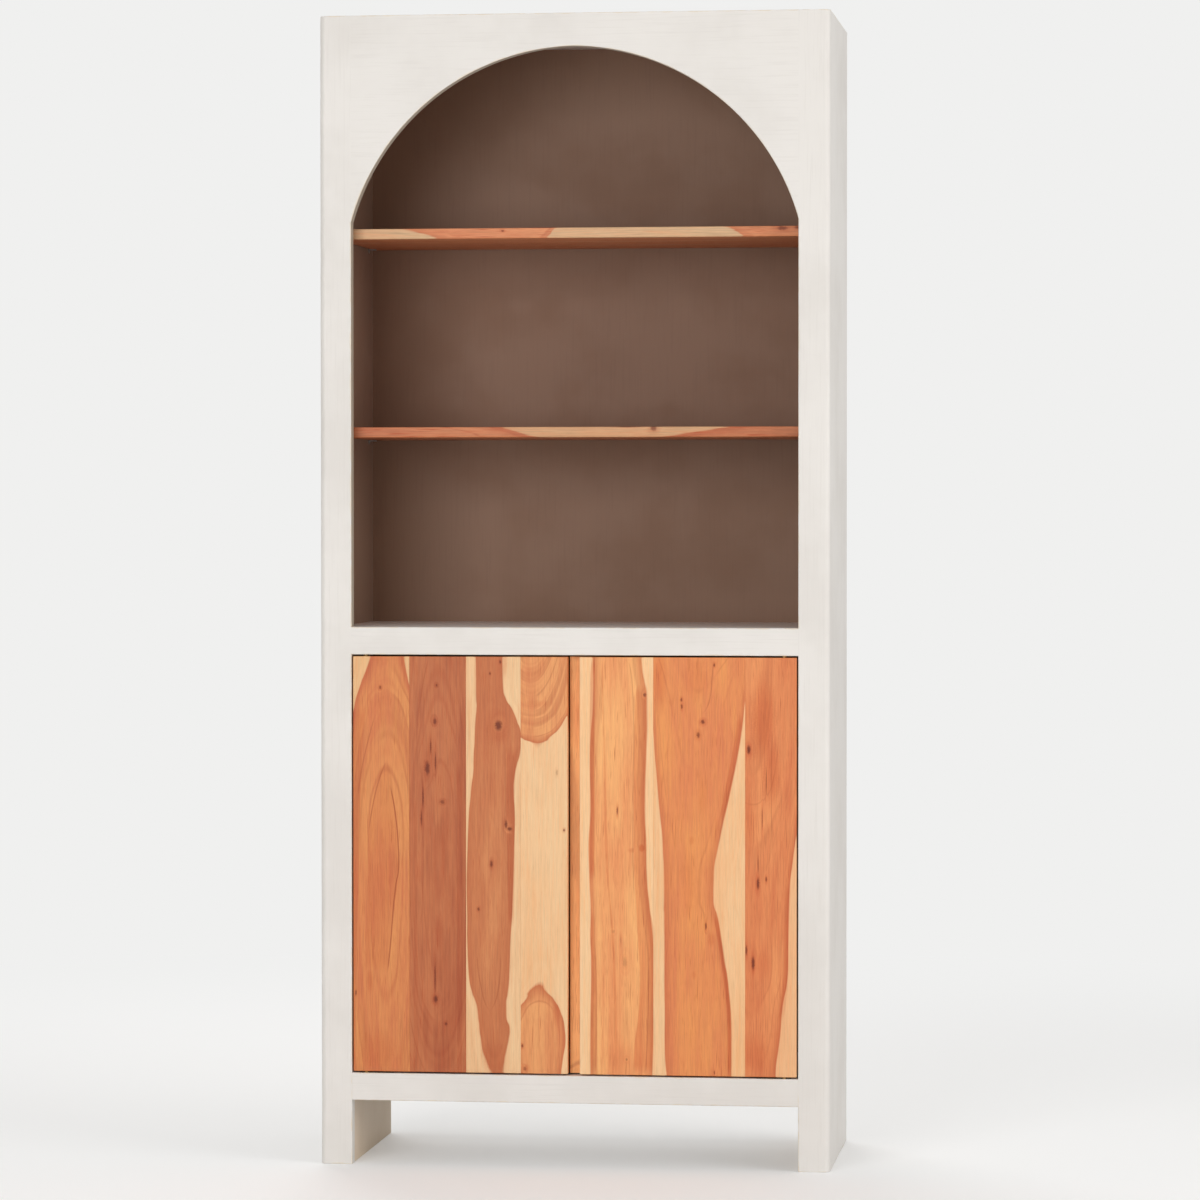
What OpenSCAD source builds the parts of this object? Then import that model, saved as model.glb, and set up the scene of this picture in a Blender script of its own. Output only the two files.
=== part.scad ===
// Tall bookcase: an arched niche with two wooden shelves above a cupboard with two doors.
// The origin is the middle of the footprint on the floor. The front faces -Y, +X is to the right.

/* [Overall] */
// Width over the side panels
case_w = 890; // [820:10:1100]
// Depth from the face frame to the back
case_d = 400; // [340:10:500]
// Height from the floor to the top
case_h = 2000; // [1940:10:2300]

/* [Face frame] */
// Thickness of the stiles, rails and arched header
frame_t = 25; // [22:1:30]
// Width of each stile
stile_w = 55; // [48:1:70]
// Height of the middle and bottom rails
rail_h = 48; // [40:1:60]
// Height of wood over the crown of the arch
header_rail = 57; // [40:1:80]
// Rise of the arch from its springing to its crown
arch_rise = 301; // [250:1:310]
// Distance of each arc's centre from the middle, which gives the crown its soft point
crown_offset = 7; // [1:1:20]
// Radius of the outer upright corners
corner_r = 10; // [4:1:12]
// Height of the feet below the bottom rail
foot_h = 112; // [90:1:140]
// Height of the door opening between the rails
cupboard_h = 730; // [660:5:760]

/* [Carcass] */
// Thickness of the side panels
side_t = 25; // [22:1:30]
// Thickness of the niche floor and the cupboard floor
board_t = 22; // [18:1:26]
// Thickness of the top panel
top_t = 25; // [18:1:30]
// Thickness of the back panel
back_t = 12; // [8:1:15]
// Depth of the housings that hold the boards in the side panels
housing = 8; // [5:1:9]
// Width of the rebate that holds the back panel
rebate_w = 12; // [9:1:15]
// Thickness of the blocks that double the side panels at the feet
foot_block_t = 30; // [20:1:34]

/* [Joinery] */
// Thickness of the tenons
tenon_t = 9; // [7:1:11]
// Length of the tenons
tenon_l = 25; // [15:1:30]
// Height of the rail tenons
tenon_h = 30; // [20:1:36]
// Radius of the dowels
dowel_r = 4; // [3:0.5:5]
// Length of the dowels
dowel_l = 30; // [20:2:34]
// Number of dowels that join each stile to its side panel
stile_dowels_n = 7; // [4:1:9]
// Clearance round dowels, tenon ends and screws
joint_gap = 0.05; // [0.02:0.01:0.1]

/* [Shelves] */
// Thickness of the shelves
shelf_t = 18; // [15:1:22]
// Distance of the niche shelves behind the face frame
shelf_setback = 15; // [5:1:60]
// Gap between a shelf's end and the side panel
shelf_end_gap = 2; // [1.8:0.1:4]
// Gap between a shelf and the back panel
shelf_back_gap = 2; // [1:0.5:6]
// Clear height between the niche floor and the lower shelf
lower_clear = 330; // [250:1:345]
// Clear height between the lower and the upper shelf
middle_clear = 328; // [250:1:340]
// Clear height between the cupboard floor and its shelf
cupboard_clear = 352; // [250:1:450]
// Distance of the cupboard shelf behind the face frame
cupboard_setback = 65; // [45:1:120]
// Radius of the shelf pins
shelf_pin_r = 2.5; // [2:0.25:4]
// Depth of the shelf pin holes
shelf_pin_depth = 10; // [6:1:14]
// Distance of the pins from the shelf's front and back edges
shelf_pin_in = 40; // [25:1:70]

/* [Doors] */
// Thickness of the door boards
door_t = 19; // [16:1:21]
// Gap between a door and its stile
side_gap = 2.5; // [2:0.1:4]
// Gap above and below the doors
end_gap = 3; // [2:0.1:4]
// Width of the recessed finger gap between the doors
finger_gap = 21; // [15:1:30]
// Width of the left door's hinged board
left_board_a = 99.5; // [60:0.5:105]
// Width of the left door's second board
left_board_b = 99.5; // [60:0.5:105]
// Width of the left door's third board
left_board_c = 96; // [60:0.5:105]
// Width of the right door's hinged board
right_board_a = 89; // [60:0.5:105]
// Width of the right door's middle board
right_board_b = 159.5; // [90:0.5:165]
// Height of the battens behind the boards
batten_h = 60; // [40:1:80]
// Thickness of the battens
batten_t = 18; // [15:1:22]
// Distance of the battens from the top and bottom of the doors
batten_in = 80; // [40:1:160]
// Distance of the battens from the hinged edge of the doors
batten_end = 30; // [25:1:60]
// Distance of the left battens from the left door's free edge
batten_free = 20; // [15:1:60]

/* [Meeting strip] */
// Thickness of the strip behind the finger gap
strip_t = 15; // [10:1:18]
// Gap between the strip and the left door's edge line
strip_gap = 2; // [1.6:0.1:4]
// Width of the strip that laps behind the right door
strip_lap = 25; // [20:1:40]
// Number of screws in the strip
strip_screws_n = 5; // [3:1:8]

/* [Hinges] */
// Distance of the pivot from the door's hinged edge
pivot_in = 22; // [20:1:30]
// Distance of the pivot behind the door's front
pivot_back = 8; // [6.5:0.5:9]
// Radius of the pivot pins
pivot_r = 2.5; // [2:0.1:3]
// Radial clearance of the pivot pins in the frame leaves
pivot_gap = 0.05; // [0.02:0.01:0.1]
// Length of the hinge leaves
leaf_l = 60; // [54:1:66]
// Width of the hinge leaves
leaf_w = 9; // [8:0.5:10]
// Thickness of the hinge leaves
leaf_t = 2.5; // [2:0.1:3]
// Length of the leaves on the outer side of the pivot
leaf_lead = 12; // [8:1:16]
// Distance from the pivot to the first leaf screw
leaf_screw_a = 18; // [12:1:20]
// Distance between the two leaf screws
leaf_screw_step = 20; // [12:1:22]
// Depth of each pivot pin in the door
pivot_seat = 6; // [4:1:9]
// Length of each pivot pin beyond the frame leaf
pivot_tail = 3.5; // [1:0.5:6]
// Clearance between a washer and the door leaf
washer_gap = 0.3; // [0.2:0.1:0.6]
// Radius of the washers
washer_r = 4.4; // [3.6:0.1:4.4]

/* [Catches] */
// Length of the catch body between its ears
catch_l = 30; // [24:1:40]
// Depth of the catch body
catch_d = 15; // [12:1:20]
// Height of the catch body
catch_h = 13; // [10:1:18]
// Length of each ear of the catch
catch_ear = 9; // [8:1:12]
// Thickness of the ears
catch_ear_t = 3; // [2.5:0.5:5]
// Distance of each catch's middle from the edge that it clears
catch_in = 35; // [30:1:60]
// Clearance between the catch and its strike plate
catch_gap = 0.3; // [0.2:0.1:0.8]
// Length of the magnet
magnet_l = 20; // [12:1:22]
// Height of the magnet
magnet_h = 7; // [5:1:8]
// Depth of the magnet
magnet_d = 9; // [6:1:10]
// Thickness of the strike plates
strike_t = 1.2; // [1:0.1:2]
// Length of the strike plates
strike_l = 26; // [20:1:30]
// Height of the strike plates
strike_h = 12; // [10:1:16]

/* [Fasteners] */
// Radius of the screw shanks
screw_r = 1.5; // [1.2:0.1:1.9]
// Radius of the screw heads
screw_head_r = 3; // [2.6:0.1:3.4]
// Length of the batten and strip screws beyond the door's back
screw_bite = 11; // [8:1:13]
// Length of the hinge and catch screws
small_screw_l = 16; // [12:1:18]
// Radius of the nail shanks
nail_r = 1; // [0.8:0.1:1.4]
// Radius of the nail heads
nail_head_r = 2.75; // [2:0.25:3.5]
// Thickness of the nail heads
nail_head_t = 0.8; // [0.5:0.1:1.5]
// Length of the nails
nail_l = 32; // [20:1:40]
// Number of nails up each side of the back panel
side_nails_n = 9; // [5:1:12]
// Number of nails in each board behind the back panel
board_nails_n = 3; // [2:1:6]

/* [Hidden] */

$fn = 48;

// Paint and wood colours
paint = [0.88, 0.87, 0.84];
taupe = [0.55, 0.45, 0.39];
raw_wood = [0.80, 0.68, 0.52];
orange_wood = [0.80, 0.47, 0.28];
red_wood = [0.66, 0.34, 0.22];
pale_wood = [0.86, 0.72, 0.52];
brown_wood = [0.50, 0.27, 0.15];

// Overlap of cutting bodies past the face that they cut
cut = 1;

// Planes across the width and the depth
half_w = case_w / 2;
open_x = half_w - stile_w;
inner_x = half_w - side_t;
front_y = -case_d / 2;
frame_y = front_y + frame_t;
back_y = case_d / 2;
lining_y = back_y - back_t;
frame_mid_y = front_y + frame_t / 2;

// Levels
cupboard_z = foot_h + rail_h;
door_head_z = cupboard_z + cupboard_h;
niche_z = door_head_z + rail_h;
crown_z = case_h - header_rail;
spring_z = crown_z - arch_rise;
lower_shelf_z = niche_z + lower_clear;
upper_shelf_z = lower_shelf_z + shelf_t + middle_clear;
cupboard_shelf_z = cupboard_z + cupboard_clear;

// The two arcs of the arch: each passes through the springing and the crown
arc_facets = 160;
arc_drop = (pow(open_x + crown_offset, 2) - pow(crown_offset, 2) - pow(arch_rise, 2)) / (2 * arch_rise);
arc_r = norm([open_x + crown_offset, arc_drop]);
arc_z = spring_z - arc_drop;

// Header tenon, kept clear of the springing and the top
header_tenon_low = 80;
header_tenon_top = 30;

// Doors
door_outer_x = open_x - side_gap;
door_free_x = finger_gap / 2;
door_low_z = cupboard_z + end_gap;
door_top_z = door_head_z - end_gap;
door_back_y = front_y + door_t;
door_mid_z = (door_low_z + door_top_z) / 2;
left_edges = [
    -door_outer_x,
    -door_outer_x + left_board_a,
    -door_outer_x + left_board_a + left_board_b,
    -door_outer_x + left_board_a + left_board_b + left_board_c,
    -door_free_x
];
right_edges = [
    door_free_x,
    door_outer_x - right_board_a - right_board_b,
    door_outer_x - right_board_a,
    door_outer_x
];
batten_y = door_back_y + batten_t;
batten_low_z = door_low_z + batten_in;
batten_top_z = door_top_z - batten_in - batten_h;
strip_x0 = -door_free_x + strip_gap;
strip_x1 = door_free_x + strip_lap;
strip_y = door_back_y + strip_t;
strip_screw_end = 40;
batten_strip_gap = 2;
batten_screw_shares = [0.25, 0.75];
left_batten = [-door_outer_x + batten_end, -door_free_x - batten_free];
right_batten = [strip_x1 + batten_strip_gap, door_outer_x - batten_end];

// Pivots
pivot_x = door_outer_x - pivot_in;
pivot_y = front_y + pivot_back;
pivot_press = 0.02;
pivot_tail_gap = 0.3;

// Catches
catch_y0 = door_back_y + strike_t + catch_gap;
catch_screw_back = 4.5;
left_catch_x = -door_free_x - catch_in;
right_catch_x = strip_x1 + catch_in;
strike_low = 1;

// Screw shape
screw_head_h = 1.8;
screw_tip = 3;
screw_point_r = 0.3;
slot_w = 0.7;
slot_d = 0.9;

// Shelf pin shape
pin_collar_t = 1.5;
pin_collar_r = shelf_pin_r + 2.5;
pin_tab_l = 14;
pin_tab_t = 2.5;
pin_tab_w = 2 * shelf_pin_r + 2;
pin_hole_spare = 0.5;

// Dowel places
dowel_x = half_w - (side_t - housing) / 2;
dowel_end = 60;
foot_dowel_y_in = 60;
foot_dowel_z = [30, 90];
dowel_spare = 0.5;

// Nail places
nail_side_x = inner_x + rebate_w / 2;
nail_end = 40;
nail_board_in = 140;

// Cube from one corner to the opposite one
module span(a, b) {
    translate(a) cube(b - a);
}

// Repeats its children on the right side and, mirrored, on the left
module both_sides() {
    children();
    mirror([1, 0, 0]) children();
}

// Value i of n values spread evenly from a to b
function spread(a, b, n, i) = a + (b - a) * i / (n - 1);

// Countersunk screw along +Z with its head flush at z = 0
module screw(l) {
    difference() {
        union() {
            cylinder(h = screw_head_h, r1 = screw_head_r, r2 = screw_r);
            translate([0, 0, screw_head_h]) cylinder(h = l - screw_head_h - screw_tip, r = screw_r);
            translate([0, 0, l - screw_tip]) cylinder(h = screw_tip, r1 = screw_r, r2 = screw_point_r);
        }
        for (a = [0, 90]) rotate([0, 0, a])
            translate([-screw_r, -slot_w / 2, -cut]) cube([2 * screw_r, slot_w, slot_d + cut]);
    }
}

// Hole that a screw of this length sits in
module screw_hole(l) {
    translate([0, 0, -cut]) cylinder(h = cut, r = screw_head_r + joint_gap);
    cylinder(h = screw_head_h, r1 = screw_head_r + joint_gap, r2 = screw_r + joint_gap);
    cylinder(h = l + joint_gap, r = screw_r + joint_gap);
}

// Dowel hole along the local Z axis, centred on the joint face
module dowel_hole() {
    cylinder(h = dowel_l + 2 * dowel_spare, r = dowel_r + joint_gap, center = true);
}

// Places of the dowels between the right stile and its side panel
module at_stile_dowels() {
    for (i = [0 : stile_dowels_n - 1])
        translate([dowel_x, frame_y, spread(dowel_end, case_h - dowel_end, stile_dowels_n, i)])
            rotate([90, 0, 0]) children();
}

// Places of the dowels between the right foot block and its side panel
module at_foot_dowels() {
    for (y = [frame_y + foot_dowel_y_in, back_y - foot_dowel_y_in], z = foot_dowel_z)
        translate([inner_x, y, z]) rotate([0, 90, 0]) children();
}

// Places of the back panel's nails, driven towards -Y
module at_nails() {
    board_levels = [cupboard_z - board_t / 2, niche_z - board_t / 2, case_h - top_t / 2];
    for (s = [-1, 1], i = [0 : side_nails_n - 1])
        translate([
            s * nail_side_x, back_y,
            spread(cupboard_z - board_t + nail_end, case_h - nail_end, side_nails_n, i)
        ])
            rotate([90, 0, 0]) children();
    for (z = board_levels, i = [0 : board_nails_n - 1])
        translate([spread(-inner_x + nail_board_in, inner_x - nail_board_in, board_nails_n, i), back_y, z])
            rotate([90, 0, 0]) children();
}

module nail() {
    cylinder(h = nail_head_t, r = nail_head_r);
    translate([0, 0, nail_head_t]) cylinder(h = nail_l - nail_head_t, r = nail_r);
}

module nail_holes() {
    at_nails() {
        translate([0, 0, -cut]) cylinder(h = nail_head_t + cut, r = nail_head_r + joint_gap);
        cylinder(h = nail_l + joint_gap, r = nail_r + joint_gap);
    }
}

// Places of the four pins under a shelf with its underside at z and its front at y0
module at_shelf_pins(z, y0) {
    for (y = [y0 + shelf_pin_in, lining_y - shelf_back_gap - shelf_pin_in])
        translate([inner_x, y, z - pin_tab_t]) children();
}

// Pin with a round shank in the right side panel, a collar and a flat tab under the shelf
module shelf_pin() {
    rotate([0, 90, 0]) cylinder(h = shelf_pin_depth, r = shelf_pin_r);
    rotate([0, -90, 0]) cylinder(h = pin_collar_t, r = pin_collar_r);
    span([-pin_tab_l, -pin_tab_w / 2, 0], [-pin_collar_t, pin_tab_w / 2, pin_tab_t]);
}

module shelf_pin_hole() {
    translate([-cut, 0, 0]) rotate([0, 90, 0])
        cylinder(h = shelf_pin_depth + pin_hole_spare + cut, r = shelf_pin_r + joint_gap);
}

module shelf_pins(z, y0) {
    color("silver") both_sides() at_shelf_pins(z, y0) shelf_pin();
}

// Right side panel with its housings, rebate and holes
module side_panel() {
    difference() {
        span([inner_x, frame_y, 0], [half_w, back_y, case_h]);
        for (z = [cupboard_z - board_t, niche_z - board_t])
            span([inner_x - cut, frame_y - cut, z], [inner_x + housing, lining_y + cut, z + board_t]);
        span([inner_x - cut, frame_y - cut, case_h - top_t], [inner_x + housing, lining_y + cut, case_h + cut]);
        span(
            [inner_x - cut, lining_y, cupboard_z - board_t],
            [inner_x + rebate_w, back_y + cut, case_h + cut]
        );
        at_stile_dowels() dowel_hole();
        at_foot_dowels() dowel_hole();
        nail_holes();
        at_shelf_pins(upper_shelf_z, frame_y + shelf_setback) shelf_pin_hole();
        at_shelf_pins(lower_shelf_z, frame_y + shelf_setback) shelf_pin_hole();
        at_shelf_pins(cupboard_shelf_z, frame_y + cupboard_setback) shelf_pin_hole();
    }
}

module side_panel_right() { color(paint) side_panel(); }
module side_panel_left() { color(paint) mirror([1, 0, 0]) side_panel(); }

// Right stile: full height, with a rounded outer corner and mortises for the rails and header
module stile() {
    difference() {
        union() {
            span([open_x, front_y, 0], [half_w - corner_r, frame_y, case_h]);
            span([half_w - corner_r - cut, front_y + corner_r, 0], [half_w, frame_y, case_h]);
            translate([half_w - corner_r, front_y + corner_r, 0]) cylinder(h = case_h, r = corner_r);
        }
        for (z = [foot_h + rail_h / 2, niche_z - rail_h / 2]) mortise(z - tenon_h / 2, z + tenon_h / 2);
        mortise(spring_z + header_tenon_low, case_h - header_tenon_top);
        at_stile_dowels() dowel_hole();
    }
}

module mortise(z0, z1) {
    span(
        [open_x - cut, frame_mid_y - tenon_t / 2, z0],
        [open_x + tenon_l + joint_gap, frame_mid_y + tenon_t / 2, z1]
    );
}

module tenon(z0, z1) {
    span([open_x - cut, frame_mid_y - tenon_t / 2, z0], [open_x + tenon_l, frame_mid_y + tenon_t / 2, z1]);
}

module stile_right() { color(paint) stile(); }
module stile_left() { color(paint) mirror([1, 0, 0]) stile(); }

// Header board cut to an arch of two arcs that meet at the crown
module arch_header() {
    color(paint) {
        difference() {
            span([-open_x, front_y, spring_z], [open_x, frame_y, case_h]);
            intersection() {
                arch_arc(1);
                arch_arc(-1);
            }
        }
        both_sides() tenon(spring_z + header_tenon_low, case_h - header_tenon_top);
    }
}

// Cylinder of one arc, with its centre to the right (s = 1) or left (s = -1) of the middle
module arch_arc(s) {
    translate([s * crown_offset, front_y - cut, arc_z])
        rotate([-90, 0, 0]) cylinder(h = frame_t + 2 * cut, r = arc_r, $fn = arc_facets);
}

// Rail between the stiles, with a tenon at each end
module rail(z) {
    span([-open_x, front_y, z], [open_x, frame_y, z + rail_h]);
    both_sides() tenon(z + (rail_h - tenon_h) / 2, z + (rail_h + tenon_h) / 2);
}

module mid_rail() {
    color(paint) difference() {
        rail(door_head_z);
        both_sides() at_pivot(1) frame_leaf_pocket();
    }
}

module bottom_rail() {
    color(paint) difference() {
        rail(foot_h);
        both_sides() at_pivot(-1) frame_leaf_pocket();
        catch_screw_holes();
    }
}

// Board across the case, with its ends in the side panels' housings
module carcass_board(z0, z1) {
    difference() {
        span([-inner_x - housing, frame_y, z0], [inner_x + housing, lining_y, z1]);
        nail_holes();
    }
}

module top_panel() { color(paint) carcass_board(case_h - top_t, case_h); }
module niche_floor_board() { color(paint) carcass_board(niche_z - board_t, niche_z); }
module cupboard_floor_board() {
    color(paint) difference() {
        carcass_board(cupboard_z - board_t, cupboard_z);
        catch_screw_holes();
    }
}

module back_panel() {
    color(taupe) difference() {
        span([-inner_x - rebate_w, lining_y, cupboard_z - board_t], [inner_x + rebate_w, back_y, case_h]);
        nail_holes();
    }
}

// Block inside the side panel that gives the foot its full thickness
module foot_block() {
    difference() {
        span([inner_x - foot_block_t, frame_y, 0], [inner_x, back_y, cupboard_z - board_t]);
        at_foot_dowels() dowel_hole();
    }
}

module foot_block_right() { color(paint) foot_block(); }
module foot_block_left() { color(paint) mirror([1, 0, 0]) foot_block(); }

module stile_dowels() {
    color(raw_wood) both_sides() at_stile_dowels() cylinder(h = dowel_l, r = dowel_r, center = true);
}

module foot_dowels() {
    color(raw_wood) both_sides() at_foot_dowels() cylinder(h = dowel_l, r = dowel_r, center = true);
}

module back_panel_nails() { color("gray") at_nails() nail(); }

// Shelf with its underside at z and its front at y0
module shelf(z, y0) {
    shelf_x = inner_x - shelf_end_gap;
    span([-shelf_x, y0, z], [shelf_x, lining_y - shelf_back_gap, z + shelf_t]);
}

module upper_shelf() { color(orange_wood) shelf(upper_shelf_z, frame_y + shelf_setback); }
module lower_shelf() { color(orange_wood) shelf(lower_shelf_z, frame_y + shelf_setback); }
module cupboard_shelf() { color(raw_wood) shelf(cupboard_shelf_z, frame_y + cupboard_setback); }
module upper_shelf_pins() { shelf_pins(upper_shelf_z, frame_y + shelf_setback); }
module lower_shelf_pins() { shelf_pins(lower_shelf_z, frame_y + shelf_setback); }
module cupboard_shelf_pins() { shelf_pins(cupboard_shelf_z, frame_y + cupboard_setback); }

// Local frame of a right-hand pivot: +Z out of the door's end, -X away from the hinged edge.
// e is 1 at the top of the door and -1 at the bottom, and z = 0 is the door's end face.
module at_pivot(e) {
    translate([pivot_x, pivot_y, e > 0 ? door_top_z : door_low_z]) mirror([0, 0, e > 0 ? 0 : 1]) children();
}

module leaf_plate() {
    span([leaf_lead - leaf_l, -leaf_w / 2, 0], [leaf_lead, leaf_w / 2, leaf_t]);
}

module at_leaf_screws() {
    for (i = [0, 1]) translate([-leaf_screw_a - i * leaf_screw_step, 0, 0]) children();
}

// Leaf let into the rail over the gap, with the bore that the pin turns in
module frame_leaf() {
    translate([0, 0, end_gap]) difference() {
        leaf_plate();
        translate([0, 0, -cut]) cylinder(h = leaf_t + 2 * cut, r = pivot_r + pivot_gap);
        at_leaf_screws() screw_hole(small_screw_l);
    }
}

// Leaf let into the door's end, which holds the pin
module door_leaf() {
    difference() {
        translate([0, 0, -leaf_t]) leaf_plate();
        translate([0, 0, -leaf_t - cut]) cylinder(h = leaf_t + 2 * cut, r = pivot_r + pivot_press);
        at_leaf_screws() mirror([0, 0, 1]) screw_hole(small_screw_l);
    }
}

module frame_leaf_pocket() {
    translate([0, 0, end_gap - cut]) {
        span([leaf_lead - leaf_l, -leaf_w / 2, 0], [leaf_lead, leaf_w / 2, leaf_t + cut]);
        cylinder(h = leaf_t + pivot_tail + 2 * cut, r = pivot_r + pivot_tail_gap);
    }
    translate([0, 0, end_gap]) at_leaf_screws() screw_hole(small_screw_l);
}

module door_leaf_pocket() {
    span([leaf_lead - leaf_l, -leaf_w / 2, -leaf_t], [leaf_lead, leaf_w / 2, cut]);
    translate([0, 0, -leaf_t - pivot_seat]) cylinder(h = pivot_seat + leaf_t, r = pivot_r + pivot_press);
    at_leaf_screws() mirror([0, 0, 1]) screw_hole(small_screw_l);
}

module pivot_pin() {
    translate([0, 0, -leaf_t - pivot_seat])
        cylinder(h = pivot_seat + 2 * leaf_t + end_gap + pivot_tail, r = pivot_r);
}

module pivot_washer() {
    translate([0, 0, washer_gap]) difference() {
        cylinder(h = end_gap - washer_gap, r = washer_r);
        translate([0, 0, -cut]) cylinder(h = end_gap + 2 * cut, r = pivot_r + pivot_gap);
    }
}

// Puts its children at the top and bottom pivot of the right (s = 1) or left (s = -1) door
module at_door_pivots(s) {
    for (e = [-1, 1]) mirror([s > 0 ? 0 : 1, 0, 0]) at_pivot(e) children();
}

module right_frame_leaves() { color("goldenrod") at_door_pivots(1) frame_leaf(); }
module left_frame_leaves() { color("goldenrod") at_door_pivots(-1) frame_leaf(); }
module right_door_leaves() { color("goldenrod") at_door_pivots(1) door_leaf(); }
module left_door_leaves() { color("goldenrod") at_door_pivots(-1) door_leaf(); }
module right_pivot_pins() { color("silver") at_door_pivots(1) pivot_pin(); }
module left_pivot_pins() { color("silver") at_door_pivots(-1) pivot_pin(); }
module right_pivot_washers() { color("goldenrod") at_door_pivots(1) pivot_washer(); }
module left_pivot_washers() { color("goldenrod") at_door_pivots(-1) pivot_washer(); }

module frame_leaf_screws() {
    color("goldenrod") for (s = [-1, 1]) at_door_pivots(s)
        translate([0, 0, end_gap]) at_leaf_screws() screw(small_screw_l);
}

module door_leaf_screws(s) {
    color("goldenrod") at_door_pivots(s) at_leaf_screws() mirror([0, 0, 1]) screw(small_screw_l);
}

module right_leaf_screws() { door_leaf_screws(1); }
module left_leaf_screws() { door_leaf_screws(-1); }

// Screws through both battens of a door, two in each board, driven towards -Y
module at_batten_screws(edges, batten) {
    for (i = [0 : len(edges) - 2], z = [batten_low_z, batten_top_z], q = batten_screw_shares)
        let (a = max(edges[i], batten[0]), b = min(edges[i + 1], batten[1]))
            translate([a + (b - a) * q, batten_y, z + batten_h / 2]) rotate([90, 0, 0]) children();
}

module at_strip_screws() {
    for (i = [0 : strip_screws_n - 1])
        translate([
            door_free_x + strip_lap / 2, strip_y,
            spread(door_low_z + strip_screw_end, door_top_z - strip_screw_end, strip_screws_n, i)
        ])
            rotate([90, 0, 0]) children();
}

// Middle of a strike plate's screw on the back of a door
module at_strike(x) {
    translate([x, door_back_y + strike_t, door_low_z + strike_low + strike_h / 2])
        rotate([90, 0, 0]) children();
}

// One board of a door, with every recess that reaches it
module left_board(i) {
    difference() {
        span([left_edges[i], front_y, door_low_z], [left_edges[i + 1], door_back_y, door_top_z]);
        at_door_pivots(-1) door_leaf_pocket();
        at_batten_screws(left_edges, left_batten) screw_hole(batten_t + screw_bite);
        at_strike(left_catch_x) screw_hole(small_screw_l);
    }
}

module right_board(i) {
    difference() {
        span([right_edges[i], front_y, door_low_z], [right_edges[i + 1], door_back_y, door_top_z]);
        at_door_pivots(1) door_leaf_pocket();
        at_batten_screws(right_edges, right_batten) screw_hole(batten_t + screw_bite);
        at_strip_screws() screw_hole(strip_t + screw_bite);
        at_strike(right_catch_x) screw_hole(small_screw_l);
    }
}

module left_door_board_1() { color(orange_wood) left_board(0); }
module left_door_board_2() { color(red_wood) left_board(1); }
module left_door_board_3() { color(brown_wood) left_board(2); }
module left_door_board_4() { color(pale_wood) left_board(3); }
module right_door_board_1() { color(orange_wood) right_board(0); }
module right_door_board_2() { color(orange_wood) right_board(1); }
module right_door_board_3() { color(red_wood) right_board(2); }

module batten(edges, ends, z) {
    difference() {
        span([ends[0], door_back_y, z], [ends[1], batten_y, z + batten_h]);
        at_batten_screws(edges, ends) screw_hole(batten_t + screw_bite);
    }
}

module left_door_upper_batten() { color(pale_wood) batten(left_edges, left_batten, batten_top_z); }
module left_door_lower_batten() { color(pale_wood) batten(left_edges, left_batten, batten_low_z); }
module right_door_upper_batten() { color(pale_wood) batten(right_edges, right_batten, batten_top_z); }
module right_door_lower_batten() { color(pale_wood) batten(right_edges, right_batten, batten_low_z); }
module left_batten_screws() {
    color("goldenrod") at_batten_screws(left_edges, left_batten) screw(batten_t + screw_bite);
}
module right_batten_screws() {
    color("goldenrod") at_batten_screws(right_edges, right_batten) screw(batten_t + screw_bite);
}

// Strip fixed behind the right door, which closes the finger gap at the back
module meeting_strip() {
    color(brown_wood) difference() {
        span([strip_x0, door_back_y, door_low_z], [strip_x1, strip_y, door_top_z]);
        at_strip_screws() screw_hole(strip_t + screw_bite);
    }
}

module meeting_strip_screws() { color("goldenrod") at_strip_screws() screw(strip_t + screw_bite); }

// Magnetic catches that stand on the cupboard floor behind each door's free edge
module at_catches() {
    for (x = [left_catch_x, right_catch_x]) translate([x, catch_y0, cupboard_z]) children();
}

module at_catch_screws() {
    at_catches() for (s = [-1, 1])
        translate([s * (catch_l + catch_ear) / 2, catch_d - catch_screw_back, catch_ear_t])
            mirror([0, 0, 1]) children();
}

module catch_screw_holes() {
    at_catch_screws() screw_hole(small_screw_l);
}

module catch_bodies() {
    color("ivory") difference() {
        at_catches() {
            span([-catch_l / 2, 0, 0], [catch_l / 2, catch_d, catch_h]);
            span([-catch_l / 2 - catch_ear, 0, 0], [catch_l / 2 + catch_ear, catch_d, catch_ear_t]);
        }
        catch_screw_holes();
        at_catches() catch_magnet(cut);
    }
}

// Magnet block, flush with the front of the catch; more lengthens it past the front
module catch_magnet(more) {
    span([-magnet_l / 2, -more, (catch_h - magnet_h) / 2], [magnet_l / 2, magnet_d, (catch_h + magnet_h) / 2]);
}

module catch_magnets() { color("dimgray") at_catches() catch_magnet(0); }
module catch_screws() { color("goldenrod") at_catch_screws() screw(small_screw_l); }

module strike_plate(x) {
    color("silver") difference() {
        span(
            [x - strike_l / 2, door_back_y, door_low_z + strike_low],
            [x + strike_l / 2, door_back_y + strike_t, door_low_z + strike_low + strike_h]
        );
        at_strike(x) screw_hole(small_screw_l);
    }
}

module left_strike_plate() { strike_plate(left_catch_x); }
module right_strike_plate() { strike_plate(right_catch_x); }
module left_strike_screw() { color("silver") at_strike(left_catch_x) screw(small_screw_l); }
module right_strike_screw() { color("silver") at_strike(right_catch_x) screw(small_screw_l); }

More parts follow.
